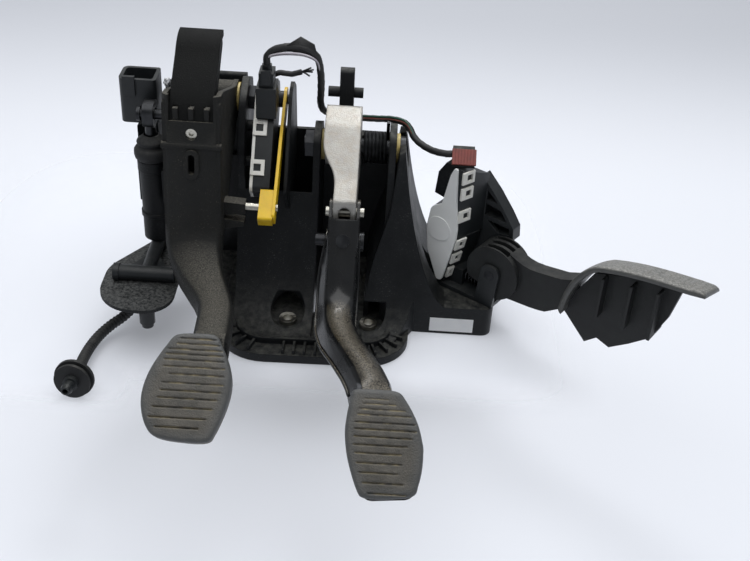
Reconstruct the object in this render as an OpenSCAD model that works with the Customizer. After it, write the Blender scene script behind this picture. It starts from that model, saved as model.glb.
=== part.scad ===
// Pedal box of a car: a moulded bracket that carries the clutch, brake and accelerator pedals.
// The origin is the middle of the booster studs on the bulkhead face.
// X runs across the car, Y up along the bulkhead and Z out of it, into the cabin.

/* [Bulkhead flange] */
// Thickness of the flange plate
flange_t = 8; // [6:0.5:10]
// From the booster axis to the front edge of the flange
flange_front = 84; // [80:1:90]
// From the booster axis to the back edge of the flange
flange_back = 80; // [78:1:86]
// Distance between the booster studs, across and along
stud_pitch = 70; // [66:1:74]
// Clear bore of the stud sleeves
stud_bore_d = 8.5; // [8:0.1:9]
// Outside diameter of the stud sleeves
sleeve_d = 15; // [13:0.5:16]
// Height of the stud sleeves
sleeve_h = 12; // [10:0.5:14]
// Radius of the spanner pocket round each stud
pocket_r = 14.5; // [13:0.5:16]
// Diameter of the hole for the booster rod
rod_hole_d = 48; // [42:1:52]
// Wall of the moulded bracket
wall = 4; // [3:0.5:5]
// Height of the platform under the accelerator
platform_h = 28; // [24:1:30]
// From the booster axis to the right end of the platform
platform_right = 143; // [140:1:150]

/* [Brake pedal] */
// Brake pivot, up the bulkhead from the booster axis
brake_pivot_y = 40; // [37:0.5:43]
// Brake pivot, out from the bulkhead face
brake_pivot_z = 143; // [140:0.5:146]
// Diameter of the brake shaft
brake_shaft_d = 14; // [12:0.5:15]
// Width of the lever hub on the shaft
brake_hub_w = 28; // [26:0.5:30]
// Width of the steel arm across its web
brake_arm_w = 25; // [24.5:0.5:27]
// Sheet thickness of the steel arm
steel_t = 2.5; // [2:0.25:3]
// Depth of the arm's side flanges
brake_flange_depth = 16; // [13:0.5:18]
// From the booster axis down to the top of the brake pad
brake_pad_reach = 208; // [202:1:214]
// Top of the brake pad above the bulkhead face
brake_pad_z = 82; // [78:1:86]

/* [Clutch pedal] */
// Clutch pivot, up the bulkhead from the booster axis
clutch_pivot_y = 50; // [48:0.5:52]
// Clutch pivot, out from the bulkhead face
clutch_pivot_z = 178; // [176:0.5:180]
// Diameter of the clutch shaft
clutch_shaft_d = 12; // [10:0.5:13]
// Width of the clutch arm at its top
clutch_arm_w = 45; // [42:0.5:46]
// Wall of the clutch arm
clutch_wall = 4; // [3:0.5:5]
// From the booster axis down to the top of the clutch pad
clutch_pad_reach = 175; // [170:1:180]
// Top of the clutch pad above the bulkhead face
clutch_pad_z = 96; // [92:1:100]
// Width of the upper lever plate
upper_lever_w = 34; // [30:1:35]

/* [Pedal pads] */
// Thickness of the rubber pads
pad_t = 7; // [5.5:0.5:9]
// Thickness of the plates under the rubber
pad_plate_t = 3; // [2.5:0.5:4]
// Distance between the grooves of the pads
groove_pitch = 4.8; // [4:0.2:6]

/* [Clutch hydraulics] */
// Outside diameter of the master cylinder
cylinder_d = 23; // [21:0.5:24]
// Bore of the master cylinder
piston_d = 16; // [14:0.5:17]
// Lever from the clutch pivot to the push rod pin
pushrod_lever = 42; // [40:0.5:44]
// Diameter of the push rod pin
pushrod_pin_d = 8; // [6:0.5:9]
// Outside diameter of the feed hose
hose_d = 9; // [8:0.5:10]
// Diameter of the bulkhead grommet on the hose
grommet_d = 32; // [28:1:34]

/* [Clutch sensor] */
// Thickness of the sensor housing
sensor_t = 14; // [12:0.5:15]
// Diameter of the rod that drives the sensor lever
drive_rod_d = 6; // [5:0.5:7]

/* [Accelerator] */
// Turn of the accelerator about Z
acc_turn = -35; // [-37:0.5:-33]
// Thickness of the accelerator housing
acc_t = 34; // [32:0.5:38]
// Height of the accelerator pivot
acc_pivot_z = 60; // [58:0.5:64]
// Diameter of the accelerator pivot pin
acc_pin_d = 10; // [8:0.5:12]
// Width of the accelerator arm
acc_arm_w = 14; // [12:0.5:18]
// Width of the accelerator pad
acc_pad_w = 38; // [34:1:42]
// From the booster axis out to the far end of the accelerator pad
acc_pad_reach = 306; // [300:1:312]

/* [Hidden] */
$fn = 48;
// Radial clearance of a shaft that turns in its bore
run_gap = 0.05;
// Clearance of a piece that is pressed or clipped in
seat_gap = 0.02;
// Overlap that joins two shapes of one piece
weld = 0.5;
// More than the height of the whole part
tall = 400;
black = "#1b1b1d";
grey_black = "#2b2b2d";
steel = "#b9bcc0";
white = "#f1f1ee";
beige = "#d8bd72";

function unit(v) = v / norm(v);
function mix(a, b, t) = a + (b - a) * t;
function ease(t) = t <= 0 ? 0 : t >= 1 ? 1 : t * t * (3 - 2 * t);
function flip(list) = [for (i = [len(list) - 1:-1:0]) list[i]];
function shift(list, by) = [for (p = list) p + by];
// Points of the arc that rounds corner b, between its neighbours a and c
function corner(a, b, c, r, steps) = let (
    u = unit(a - b), w = unit(c - b),
    half = acos(max(-1, min(1, u * w))) / 2,
    middle = b + unit(u + w) * r / sin(half),
    p = b + u * r / tan(half) - middle,
    q = b + w * r / tan(half) - middle,
    from = atan2(p[1], p[0]),
    sweep = (atan2(q[1], q[0]) - from + 540) % 360 - 180)
  [for (i = [0:steps]) middle + r * [cos(from + sweep * i / steps), sin(from + sweep * i / steps)]];
// An outline from corners given as [x, y, radius]
function rounded(corners, steps = 5) = let (n = len(corners))
  [for (i = [0:n - 1]) let (
      a = corners[(i + n - 1) % n], b = corners[i], c = corners[(i + 1) % n], p = [b[0], b[1]])
    each b[2] > 0 ? corner([a[0], a[1]], p, [c[0], c[1]], b[2], steps) : [p]];
// A cubic curve from a to d with handles b and c
function curve(a, b, c, d, steps) = [for (i = [0:steps]) let (t = i / steps, s = 1 - t)
    s * s * s * a + 3 * s * s * t * b + 3 * s * t * t * c + t * t * t * d];
// A smooth line through all the points of a route
function through(pts, steps) = let (n = len(pts))
  [for (i = [0:n - 2], k = [0:steps - (i == n - 2 ? 0 : 1)]) let (
      t = k / steps, a = pts[max(i - 1, 0)], b = pts[i], c = pts[i + 1], d = pts[min(i + 2, n - 1)])
    0.5 * (2 * b + (c - a) * t + (2 * a - 5 * b + 4 * c - d) * t * t
      + (3 * b - a - 3 * c + d) * t * t * t)];
function tangent(path, i) = unit(path[min(i + 1, len(path) - 1)] - path[max(i - 1, 0)]);

// A profile drawn in Y and Z, extruded along X
module slab(x0, x1) {
  translate([x0, 0, 0]) rotate([90, 0, 90]) linear_extrude(x1 - x0) children();
}
// A profile drawn in X and Z, extruded along Y
module face_on(y0, y1) {
  translate([0, y1, 0]) rotate([90, 0, 0]) linear_extrude(y1 - y0) children();
}
// A round bar along X
module bar(x0, x1, y, z, d) {
  translate([x0, y, z]) rotate([0, 90, 0]) cylinder(d = d, h = x1 - x0);
}
// A round post along Z
module post(x, y, z0, z1, d) {
  translate([x, y, z0]) cylinder(d = d, h = z1 - z0);
}
module block(low, high) {
  translate(low) cube(high - low);
}
// A closed skin through rings of points that all have the same count
module skin(rings) {
  n = len(rings[0]);
  last = len(rings) - 1;
  sides = [for (i = [0:last - 1], j = [0:n - 1]) let (a = i * n + j, b = i * n + (j + 1) % n)
      each [[a, b, b + n], [a, b + n, a + n]]];
  // Each cap is a strip between the first half of the ring and the second
  strip = [for (j = [0:n / 2 - 2]) each [[j, j + 1, n - 2 - j], [j, n - 2 - j, n - 1 - j]]];
  first_cap = [for (f = strip) flip(f)];
  last_cap = [for (f = strip) [for (j = f) last * n + j]];
  polyhedron([for (ring = rings) each ring], concat(first_cap, sides, last_cap), convexity = 8);
}
// A round tube along a path; side is a direction that the path never takes
module tube(path, d, sides = 10, side = [0, 1, 0]) {
  skin([for (i = [0:len(path) - 1]) let (
      t = tangent(path, i), u = unit(cross(side, t)), w = cross(t, u))
    [for (j = [0:sides - 1]) path[i] + d / 2 * (cos(j * 360 / sides) * u - sin(j * 360 / sides) * w)]]);
}
// A coil of wire round an axis along X
module coil(x0, x1, r, wire_d, turns, steps = 14) {
  path = [for (i = [0:turns * steps]) let (a = i * 360 / steps)
      [mix(x0, x1, i / (turns * steps)), r * cos(a), r * sin(a)]];
  tube(path, wire_d, 6, [1, 0, 0]);
}
module ring_x(x0, x1, y, z, outer_d, inner_d) {
  difference() {
    bar(x0, x1, y, z, outer_d);
    bar(x0 - 1, x1 + 1, y, z, inner_d);
  }
}

// Flange, towers and cheeks of the bracket

stud_at = stud_pitch / 2;
flange_left = 94;
flange_right = 70;
flange_r = 42;
lip_inset = 15;
lip_h = 6;
seal_t = 3;
seal_inset = 6;
seal_w = 5;
back_wall_y = 72;
cheek_t = 6;
clutch_cheek_x = -82;
brake_left_x = -19.5;
brake_right_x = 44;
divider_x = -41;
divider_t = 3;
outer_cheek_x = -140;
outer_cheek_t = 5;
beam_y = 68;
beam_low = 140;
bay_web_w = 20;
tower_left_end = brake_left_x + cheek_t;
platform_front = -29;
platform_back = 62;
bush_flange_d = 26;
bush_flange_t = 3;
bush_d = brake_shaft_d + 6;
lug_x = 5;
lug_y = 66;
lug_z = 180;
support_pin_d = 9;
sensor_boss_d = 9;

function flange_corners(inset) = [
  [-flange_left + inset, -flange_front + inset, flange_r - inset],
  [flange_right - inset, -flange_front + 3 + inset, flange_r - 4 - inset],
  [flange_right - inset, flange_back - inset, 18 - inset],
  [-flange_left + inset, flange_back - inset, 18 - inset]];
left_apron = curve([-flange_front + lip_inset + 3, flange_t], [-30, flange_t + 2], [-8, 45], [10, 112], 14);
right_apron = curve([-flange_front + lip_inset + 6, flange_t], [-34, flange_t + 2], [-14, 60],
  [8, 146], 14);
right_flank = curve([58, 154], [64, 110], [76, platform_h + 18], [100, platform_h], 14);

module studs() {
  for (sx = [-1, 1], sy = [-1, 1]) translate([sx * stud_at, sy * stud_at, 0]) children();
}
module outer_flange() {
  linear_extrude(flange_t) polygon(rounded(flange_corners(0), 10));
  // Raised lip that the aprons grow out of
  intersection() {
    linear_extrude(flange_t + lip_h) difference() {
      polygon(rounded(flange_corners(lip_inset), 10));
      polygon(rounded(flange_corners(lip_inset + wall), 10));
    }
    block([-tall, -tall, 0], [tall, -20, tall]);
  }
  // Stiffening ribs across the front of the flange
  for (x = [-36:9:36])
    block([x, -flange_front + 3, flange_t - weld],
      [x + 2, -flange_front + lip_inset + 2, flange_t + lip_h - 2]);
  for (a = [198:18:252])
    translate([-flange_left + flange_r, -flange_front + flange_r, 0]) rotate([0, 0, a])
      block([flange_r - lip_inset - 2, -1, flange_t - weld], [flange_r - 3, 1, flange_t + lip_h - 2]);
  for (a = [288:18:342])
    translate([flange_right - flange_r + 4, -flange_front + flange_r - 1, 0]) rotate([0, 0, a])
      block([flange_r - lip_inset - 6, -1, flange_t - weld], [flange_r - 7, 1, flange_t + lip_h - 2]);
}
module left_tower() {
  slab(clutch_cheek_x, clutch_cheek_x + cheek_t) polygon(rounded([
    [-58, 1, 0], [-58, flange_t, 0], [-25, 16, 12], [2, 55, 20], [10, 110, 20], [6, 150, 20],
    [clutch_pivot_y - 26, clutch_pivot_z + 10, 14], [clutch_pivot_y, clutch_pivot_z + 19, 12],
    [clutch_pivot_y + 20, clutch_pivot_z + 10, 10], [back_wall_y + 5, 150, 8], [back_wall_y + 5, 1, 0]]));
  slab(brake_left_x, tower_left_end) polygon(rounded([
    [-58, 1, 0], [-58, flange_t, 0], [-25, 16, 12], [0, 50, 20], [10, 112, 16],
    [brake_pivot_y - 22, brake_pivot_z + 16, 12], [brake_pivot_y, brake_pivot_z + 22, 12],
    [brake_pivot_y + 20, brake_pivot_z + 12, 10], [back_wall_y + 5, 120, 8], [back_wall_y + 5, 1, 0]]));
  slab(divider_x, divider_x + divider_t) polygon(rounded([
    [8, 1, 0], [6, 100, 20], [-20, 128, 8], [27, 196, 10], [44, 198, 8], [62, 186, 10],
    [back_wall_y + 2, 140, 10], [back_wall_y + 2, 1, 0]]));
  slab(clutch_cheek_x, tower_left_end)
    polygon(concat(left_apron, flip(shift(left_apron, [wall, -wall * 0.6]))));
  // Inner rib between the apron and the back wall
  slab(-56, -53) polygon([[-20, 1], [-8, 20], [0, 40], [6, 84], [back_wall_y + 1, 60],
    [back_wall_y + 1, 1]]);
}
// The right tower runs out into the platform
module right_form() {
  intersection() {
    slab(20, platform_right) polygon(concat([[right_apron[0][0], 1]], right_apron,
      [[24, 168], [56, 168], [back_wall_y + 4, 130], [back_wall_y + 4, 1]]));
    face_on(-tall, tall) polygon(concat([[30, 1], [30, 34], [36, 64], [48, 104], [53, 152]], right_flank,
      [[100, 1]]));
    linear_extrude(tall) polygon(concat([[20, back_wall_y + 4], [20, -66]],
      curve([48, -66], [60, -58], [66, -44], [74, platform_front], 6),
      [[platform_right, platform_front], [platform_right, back_wall_y - 8]]));
  }
}
// Room inside the right tower, open at the back
module right_hollow() {
  low_flank = [for (p = right_flank) if (p[1] < 96) p - [wall, wall]];
  intersection() {
    slab(20, platform_right) polygon(concat([[right_apron[0][0] + 6, -1]], shift(right_apron, [5, -2]),
      [[tall, 140], [tall, -1]]));
    face_on(-tall, tall) polygon(concat([[34, flange_t], [34, 34], [42, 66], [54, 98]], low_flank,
      [[96, -1], [flange_right + wall, -1], [flange_right + wall, flange_t]]));
    linear_extrude(tall) polygon(concat([[20, tall], [20, -62]],
      curve([46, -62], [58, -54], [62, -40], [72, platform_front + wall], 6),
      [[platform_right, platform_front + wall], [platform_right, tall]]));
  }
}
module platform() {
  difference() {
    linear_extrude(platform_h) polygon(rounded([
      [56, platform_front, 0], [platform_right, platform_front, 9],
      [platform_right, platform_back, 9], [56, platform_back, 0]]));
    translate([0, 0, -1]) linear_extrude(platform_h + 1 - wall) polygon(rounded([
      [flange_right + wall, platform_front + wall, 3], [platform_right - wall, platform_front + wall, 5],
      [platform_right - wall, platform_back - wall, 5], [flange_right + wall, platform_back - wall, 3]]));
  }
  // Ribs under the platform
  for (x = [94, 118])
    block([x, platform_front + 1, 1], [x + 3, platform_back - 1, platform_h - 1]);
}
// Room above the platform that the accelerator stands in
bay_left = 56;
bay_behind = 18;
bay_sink = 0.05;
module accel_bay(grow) {
  acc_place() block([bay_left - grow, acc_y0 - acc_cover_t - 1 - grow, platform_h - bay_sink - grow / 4],
    [tall, acc_y1 + bay_behind + grow, tall]);
}
module clutch_beam() {
  slab(outer_cheek_x, outer_cheek_x + outer_cheek_t) polygon(rounded([
    [clutch_pivot_y - 17, clutch_pivot_z + 18, 10], [clutch_pivot_y + 12, clutch_pivot_z + 18, 6],
    [beam_y + 10, clutch_pivot_z + 12, 4], [beam_y + 10, 100, 6], [-14, 100, 8], [-14, 138, 8],
    [28, 138, 8], [clutch_pivot_y - 18, clutch_pivot_z - 12, 8]]));
  slab(outer_cheek_x + weld, clutch_cheek_x + weld) polygon(rounded([
    [beam_y, clutch_pivot_z + 14, 3], [beam_y + 10, clutch_pivot_z + 10, 3],
    [beam_y + 10, beam_low, 3], [beam_y, beam_low, 3]]));
  slab(outer_cheek_x + weld, clutch_cheek_x + weld)
    polygon([[beam_y, 112], [beam_y + 10, 112], [beam_y + 10, 106], [beam_y, 106]]);
  // Web that closes the back of the clutch bay beside the cheek
  block([clutch_cheek_x - bay_web_w, beam_y + 5.5, flange_t - 1],
    [clutch_cheek_x + weld, beam_y + 8.5, beam_low + 1]);
}
module back_wall() {
  block([clutch_cheek_x + 1, back_wall_y, 1], [brake_right_x + 2, back_wall_y + wall, beam_low]);
  // Ribs down the outside of the wall
  for (x = [-62, -6, 24])
    slab(x, x + 3) polygon([[back_wall_y, 1], [flange_back - 1, 1], [back_wall_y + wall + 1, beam_low - 4],
      [back_wall_y, beam_low - 4]]);
  // Bridge behind the brake hub and the lug on it
  block([brake_left_x + 1, back_wall_y - 6, beam_low - 14],
    [brake_right_x + 2, back_wall_y + wall, beam_low]);
  slab(lug_x - 6, lug_x + 6) polygon(rounded([
    [lug_y - 6, beam_low - 8, 0], [lug_y - 6, lug_z + 22, 5], [lug_y + 4, lug_z + 24, 5],
    [lug_y + 8, lug_z, 5], [lug_y + 8, beam_low - 8, 0]]));
}
sensor_x = -66;
sensor_screw_spots = [[30, 162], [18, 134]];
module bracket() {
  color(black) difference() {
    union() {
      outer_flange();
      left_tower();
      difference() {
        right_form();
        difference() {
          right_hollow();
          accel_bay(wall);
        }
      }
      // Cheek and ribs inside the right tower
      slab(brake_right_x, brake_right_x + cheek_t) polygon(rounded([
        [-40, 1, 0], [-32, 20, 10], [-6, 70, 20], [8, 136, 10],
        [brake_pivot_y - 18, brake_pivot_z + 19, 12],
        [brake_pivot_y, brake_pivot_z + 23, 12], [brake_pivot_y + 18, brake_pivot_z + 15, 10],
        [back_wall_y + 4, 120, 8], [back_wall_y + 4, 1, 0]]));
      intersection() {
        right_form();
        slab(64, 67) polygon([[-20, 2], [70, 2], [70, tall], [-20, tall]]);
      }
      platform();
      back_wall();
      clutch_beam();
      for (s = sensor_screw_spots)
        bar(clutch_cheek_x + 1, sensor_x, s[0], s[1], sensor_boss_d);
    }
    accel_bay(0);
    acc_place() for (spot = acc_screw_spots)
      post(spot[0], spot[1], platform_h - wall - 3, platform_h + 1, acc_screw_d + 2 * seat_gap);
    studs() {
      translate([0, 0, -1]) cylinder(d = sleeve_d + 2 * seat_gap, h = flange_t + 2);
      translate([0, 0, flange_t]) cylinder(r = pocket_r, h = 24);
    }
    translate([0, 0, -1]) cylinder(d = rod_hole_d, h = flange_t + 2);
    translate([0, 0, -1]) linear_extrude(seal_t + 1) difference() {
      polygon(rounded(flange_corners(seal_inset), 10));
      polygon(rounded(flange_corners(seal_inset + seal_w), 10));
    }
    bar(brake_left_x - 1, tower_left_end + 1, brake_pivot_y, brake_pivot_z, bush_d + 2 * seat_gap);
    bar(brake_right_x - 1, brake_right_x + cheek_t + 1, brake_pivot_y, brake_pivot_z,
      bush_d + 2 * seat_gap);
    bar(brake_right_x + cheek_t, brake_right_x + cheek_t + 40, brake_pivot_y, brake_pivot_z,
      bush_flange_d + 4);
    bar(outer_cheek_x - 1, clutch_cheek_x + cheek_t + 1, clutch_pivot_y, clutch_pivot_z,
      clutch_shaft_d + 2 * seat_gap);
    bar(lug_x - 10, lug_x + 10, lug_y + 1, lug_z, support_pin_d + 2 * seat_gap);
  }
}
module bulkhead_seal() {
  color("#3a3a3c") linear_extrude(seal_t) difference() {
    polygon(rounded(flange_corners(seal_inset), 10));
    polygon(rounded(flange_corners(seal_inset + seal_w), 10));
  }
}
module stud_sleeves() {
  color(steel) studs() difference() {
    cylinder(d = sleeve_d, h = sleeve_h);
    translate([0, 0, -1]) cylinder(d = stud_bore_d, h = sleeve_h + 2);
  }
}
module support_pin() {
  color(black) bar(lug_x - 16, lug_x + 14, lug_y + 1, lug_z, support_pin_d);
}
module label() {
  color(white) block([88.5, platform_front - 0.3, 2.6], [126.5, platform_front, 16.6]);
}

// Brake pedal

brake_hub_x0 = -10;
brake_hub_x1 = brake_hub_x0 + brake_hub_w;
brake_hub_d = 34;
brake_x = 11;
link_y = -36;
link_z = 123;
link_pin_d = 8;
lever_neck = brake_arm_w - 2 * steel_t - 1;
brake_web_top = [-52, 126];
brake_knee = [-80, 82];
// How far the end of an arm runs into its pad plate
pad_bite = 1;
brake_path = concat(
  [for (t = [0:0.25:0.75]) mix(brake_web_top, brake_knee, t)],
  curve(brake_knee, brake_knee + [-10, -15], [-104, brake_pad_z - 12], [-126, brake_pad_z - 10], 8),
  [for (t = [0.2:0.2:1]) let (y = mix(-126, -brake_pad_reach - pad_bite, t))
    [y, brake_pad_z - 0.6 * pad_bite - 10 * (1 - t) * (1 - t)]]);
brake_drift = 34;
function brake_centre(y) = brake_x + brake_drift * ease((-95 - y) / (brake_pad_reach - 88));
brake_bolt = mix(brake_web_top, brake_knee, 0.34);
link_bolt_d = 8;
// Slope of the arm's web at the bolt
bolt_turn = 57.5;
booster_y = -34;
booster_z = 94;
booster_pin_d = 10;
brake_pad_tilt = 43;

// Section of the pressed arm: web in front, flanges behind, the left one flared
function brake_section(open) = let (
    h = brake_arm_w / 2, d = brake_flange_depth, t = steel_t, f = 6 * open) [
  [-h - f, d], [-h, 4], [-h + 3, 0], [h - 3, 0], [h, 4], [h + f * 0.3, d],
  [h + f * 0.3 - t, d], [h - t, 5], [h - 4, t], [-h + 4, t], [-h + t, 5], [-h - f + t, d]];
function brake_rings() = [for (i = [0:len(brake_path) - 1]) let (
    p = brake_path[i], t = tangent(brake_path, i), n = [-t[1], t[0]],
    open = ease((-50 - p[0]) / 30), x = brake_centre(p[0]))
  [for (s = brake_section(open)) [x + s[0], p[0] + n[0] * s[1], p[1] + n[1] * s[1]]]];

module at_link_bolt() {
  translate([brake_x, brake_bolt[0], brake_bolt[1]]) rotate([bolt_turn, 0, 0]) children();
}
// Places children on the brake pad: X across, Y down the pad, Z out of its face
module on_brake_pad() {
  translate([brake_centre(-brake_pad_reach), -brake_pad_reach, brake_pad_z])
    rotate([brake_pad_tilt, 0, 0]) children();
}
brake_pad_outline = rounded([
  [-17, 0, 6], [16, 0, 6], [36, -36, 26], [30, -73, 9], [-5, -76, 9], [-20, -38, 30]], 6);
clutch_pad_outline = rounded([
  [-19, 0, 6], [8, 0, 6], [20, -37, 22], [2, -76, 10], [-29, -73, 10], [-45, -43, 24]], 6);
// Tongue that joins the end of an arm to the back of its pad plate
function pad_tongue(y, z, tilt) = [[y + 7, z - 1.2], [y - 0.5, z - 0.2], [y - 15, z + 1 - 15 * tan(tilt)],
  [y - 13, z - 17], [y + 3, z - 14]];
// A rubber pad with sipes across it
module grooved_pad(outline) {
  groove_w = 1.4;
  groove_depth = 1.6;
  difference() {
    translate([0, 0, pad_plate_t]) linear_extrude(pad_t) polygon(outline);
    for (k = [0:11])
      block([-20 + abs(k - 6) * 1.5, -12 - k * groove_pitch, pad_plate_t + pad_t - groove_depth],
        [28 - abs(k - 5) * 2, -12 - k * groove_pitch + groove_w, pad_plate_t + pad_t + 1]);
  }
}
module brake_lever() {
  neck = lever_neck / 2;
  color("#a9abad") difference() {
    union() {
      intersection() {
        slab(brake_hub_x0, brake_x + neck) polygon(rounded([
          [brake_pivot_y + 13, brake_pivot_z + 14, 8], [brake_pivot_y, brake_pivot_z + 40, 8],
          [12, 176, 18], [-24, 148, 40], [-46, 138, 5], [-48, 116, 5],
          [-54, 100, 5], [-42, 96, 5], [-28, 114, 10],
          [brake_pivot_y - 30, brake_pivot_z - 18, 30], [brake_pivot_y + 2, brake_pivot_z - 16, 14],
          [brake_pivot_y + 16, brake_pivot_z - 6, 10]], 6));
        face_on(-tall, tall) polygon(rounded([
          [brake_hub_x0, 200, 6], [brake_x + neck - 1, 200, 4], [brake_x + neck, 80, 0],
          [brake_x - neck, 80, 0], [brake_x - neck, 148, 14], [brake_hub_x0, 162, 14]], 6));
      }
      bar(brake_hub_x0, brake_hub_x1, brake_pivot_y, brake_pivot_z, brake_hub_d);
    }
    bar(brake_hub_x0 - 1, brake_hub_x1 + 10, brake_pivot_y, brake_pivot_z, brake_shaft_d + 2 * run_gap);
    // Arched slot of the fork
    face_on(-60, -26) union() {
      translate([brake_x, 128]) circle(r = lever_neck / 4);
      translate([brake_x - lever_neck / 4, 114]) square([lever_neck / 2, 14]);
    }
    bar(-20, 40, link_y, link_z, link_pin_d + 2 * seat_gap);
    at_link_bolt() cylinder(d = link_bolt_d + 2 * seat_gap, h = 40, center = true);
  }
}
module brake_arm() {
  half = brake_arm_w / 2;
  color("#151517") difference() {
    union() {
      skin(brake_rings());
      // Ears for the link pin and for the booster rod
      for (x = [brake_x - half + 0.1, brake_x + half - steel_t - 0.1])
        slab(x, x + steel_t) polygon(rounded([
          [-50, 126, 2], [-40, 136, 6], [-26, 130, 7], [-27, 112, 6],
          [-24, 100, 6], [-24, 84, 9], [-44, 84, 9], [-62, 100, 4]]));
      on_brake_pad() linear_extrude(pad_plate_t) polygon(brake_pad_outline);
      slab(brake_centre(-brake_pad_reach) - 10, brake_centre(-brake_pad_reach) + 10)
        polygon(pad_tongue(-brake_pad_reach, brake_pad_z, brake_pad_tilt));
    }
    bar(-20, 40, link_y, link_z, link_pin_d + 2 * seat_gap);
    bar(-20, 40, booster_y, booster_z, booster_pin_d + 2 * seat_gap);
    at_link_bolt() cylinder(d = link_bolt_d + 2 * seat_gap, h = 20, center = true);
  }
}
module brake_pad() {
  color("#333231") on_brake_pad() grooved_pad(brake_pad_outline);
}
module brake_shaft() {
  head_x = brake_right_x + cheek_t + bush_flange_t;
  color(steel) union() {
    bar(brake_left_x - 9, head_x + weld, brake_pivot_y, brake_pivot_z, brake_shaft_d);
    bar(head_x, head_x + 5, brake_pivot_y, brake_pivot_z, brake_shaft_d + 8);
  }
}
module brake_bushes() {
  inner = brake_shaft_d + 2 * seat_gap;
  color(beige) union() {
    ring_x(brake_right_x, brake_right_x + cheek_t + bush_flange_t, brake_pivot_y, brake_pivot_z,
      bush_d, inner);
    ring_x(brake_right_x + cheek_t, brake_right_x + cheek_t + bush_flange_t, brake_pivot_y, brake_pivot_z,
      bush_flange_d, inner);
  }
  color(beige) union() {
    ring_x(brake_left_x, tower_left_end + bush_flange_t, brake_pivot_y, brake_pivot_z, bush_d, inner);
    ring_x(tower_left_end, brake_hub_x0 - 0.3, brake_pivot_y, brake_pivot_z, bush_flange_d, inner);
  }
}
module hex_nut(x0, x1, y, z, across, bore) {
  difference() {
    translate([x0, y, z]) rotate([0, 90, 0]) cylinder(d = across / cos(30), h = x1 - x0, $fn = 6);
    bar(x0 - 1, x1 + 1, y, z, bore);
  }
}
module shaft_nuts() {
  color(steel) hex_nut(brake_left_x - 8, brake_left_x, brake_pivot_y, brake_pivot_z,
    brake_shaft_d + 8, brake_shaft_d + 2 * seat_gap);
  color(steel) hex_nut(clutch_cheek_x + cheek_t, clutch_cheek_x + cheek_t + 5,
    clutch_pivot_y, clutch_pivot_z, clutch_shaft_d + 7, clutch_shaft_d + 2 * seat_gap);
}
spring_wire_d = 3.4;
module brake_spring() {
  r = brake_shaft_d / 2 + 5.5;
  x0 = max(brake_hub_x1, brake_x + lever_neck / 2) + spring_wire_d / 2 + 0.3;
  x1 = brake_right_x - spring_wire_d / 2 - 0.1;
  color("#4a4c50") translate([0, brake_pivot_y, brake_pivot_z]) union() {
    coil(x0, x1, r, spring_wire_d, 6);
    tube([[x0, r, 0.6], [x0, r, -8], [x0, r - 4, -22]], spring_wire_d, 6, [1, 0, 0]);
    tube([[x1, r, -0.6], [x1, r, 8], [x1, r - 4, 20]], spring_wire_d, 6, [1, 0, 0]);
  }
}
module link_pin() {
  half = brake_arm_w / 2;
  color("#cdb98a") bar(brake_x - half - 3, brake_x + half + 3, link_y, link_z, link_pin_d);
}
module link_bolt() {
  color("#26262a") at_link_bolt() union() {
    translate([0, 0, 0.1]) cylinder(d = link_bolt_d + 3, h = 4);
    translate([0, 0, -14]) cylinder(d = link_bolt_d, h = 14.5);
  }
}
module booster_pin() {
  half = brake_arm_w / 2;
  color(steel) union() {
    bar(brake_x - half - 11, brake_x + half, booster_y, booster_z, booster_pin_d);
    bar(brake_x + half, brake_x + half + 4, booster_y, booster_z, booster_pin_d + 6);
  }
}
module pin_clip() {
  half = brake_arm_w / 2;
  color("#c9ccd0") ring_x(brake_x - half - 2, brake_x - half, booster_y, booster_z, booster_pin_d + 8,
    booster_pin_d + 2 * seat_gap);
}

// Clutch pedal

clutch_x = -108.5;
clutch_neck_x = -80;
clutch_neck_w = 26;
clutch_foot_x = -78;
clutch_top = [-45, 222];
clutch_knee = [-62, 118];
clutch_path = concat(
  [for (t = [0:0.2:0.8]) mix(clutch_top, clutch_knee, t)],
  curve(clutch_knee, [-66, 96], [-104, 90], [-136, 92], 9),
  [for (t = [0.25:0.25:1])
    [mix(-136, -clutch_pad_reach - pad_bite, t), mix(92, clutch_pad_z - 0.6 * pad_bite, t)]]);
clutch_pad_tilt = 41;
sill_z = 202;
clutch_half = clutch_arm_w / 2;
clutch_hub_d = 27;
pushrod_y = clutch_pivot_y - pushrod_lever;
pushrod_x = -153;
drive_y = -40;
drive_z = 125;

function clutch_centre(y) = y > -136 ? mix(clutch_x, clutch_neck_x, ease((-62 - y) / 74))
  : mix(clutch_neck_x, clutch_foot_x, (-136 - y) / (clutch_pad_reach - 136));
function clutch_width(y) = mix(clutch_arm_w, clutch_neck_w, ease((-58 - y) / 74));
function clutch_section(w, d, t) = let (h = w / 2) [
  [-h, d], [-h, 4], [-h + 4, 0], [h - 4, 0], [h, 4], [h, d],
  [h - t, d], [h - t, 5], [h - t - 1, t], [-h + t + 1, t], [-h + t, 5], [-h + t, d]];
function clutch_rings() = [for (i = [0:len(clutch_path) - 1]) let (
    p = clutch_path[i], t = tangent(clutch_path, i), n = [-t[1], t[0]],
    depth = mix(16, 20, ease((-50 - p[0]) / 30)))
  [for (s = clutch_section(clutch_width(p[0]), depth, clutch_wall))
    [clutch_centre(p[0]) + s[0], p[0] + n[0] * s[1], p[1] + n[1] * s[1]]]];

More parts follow.
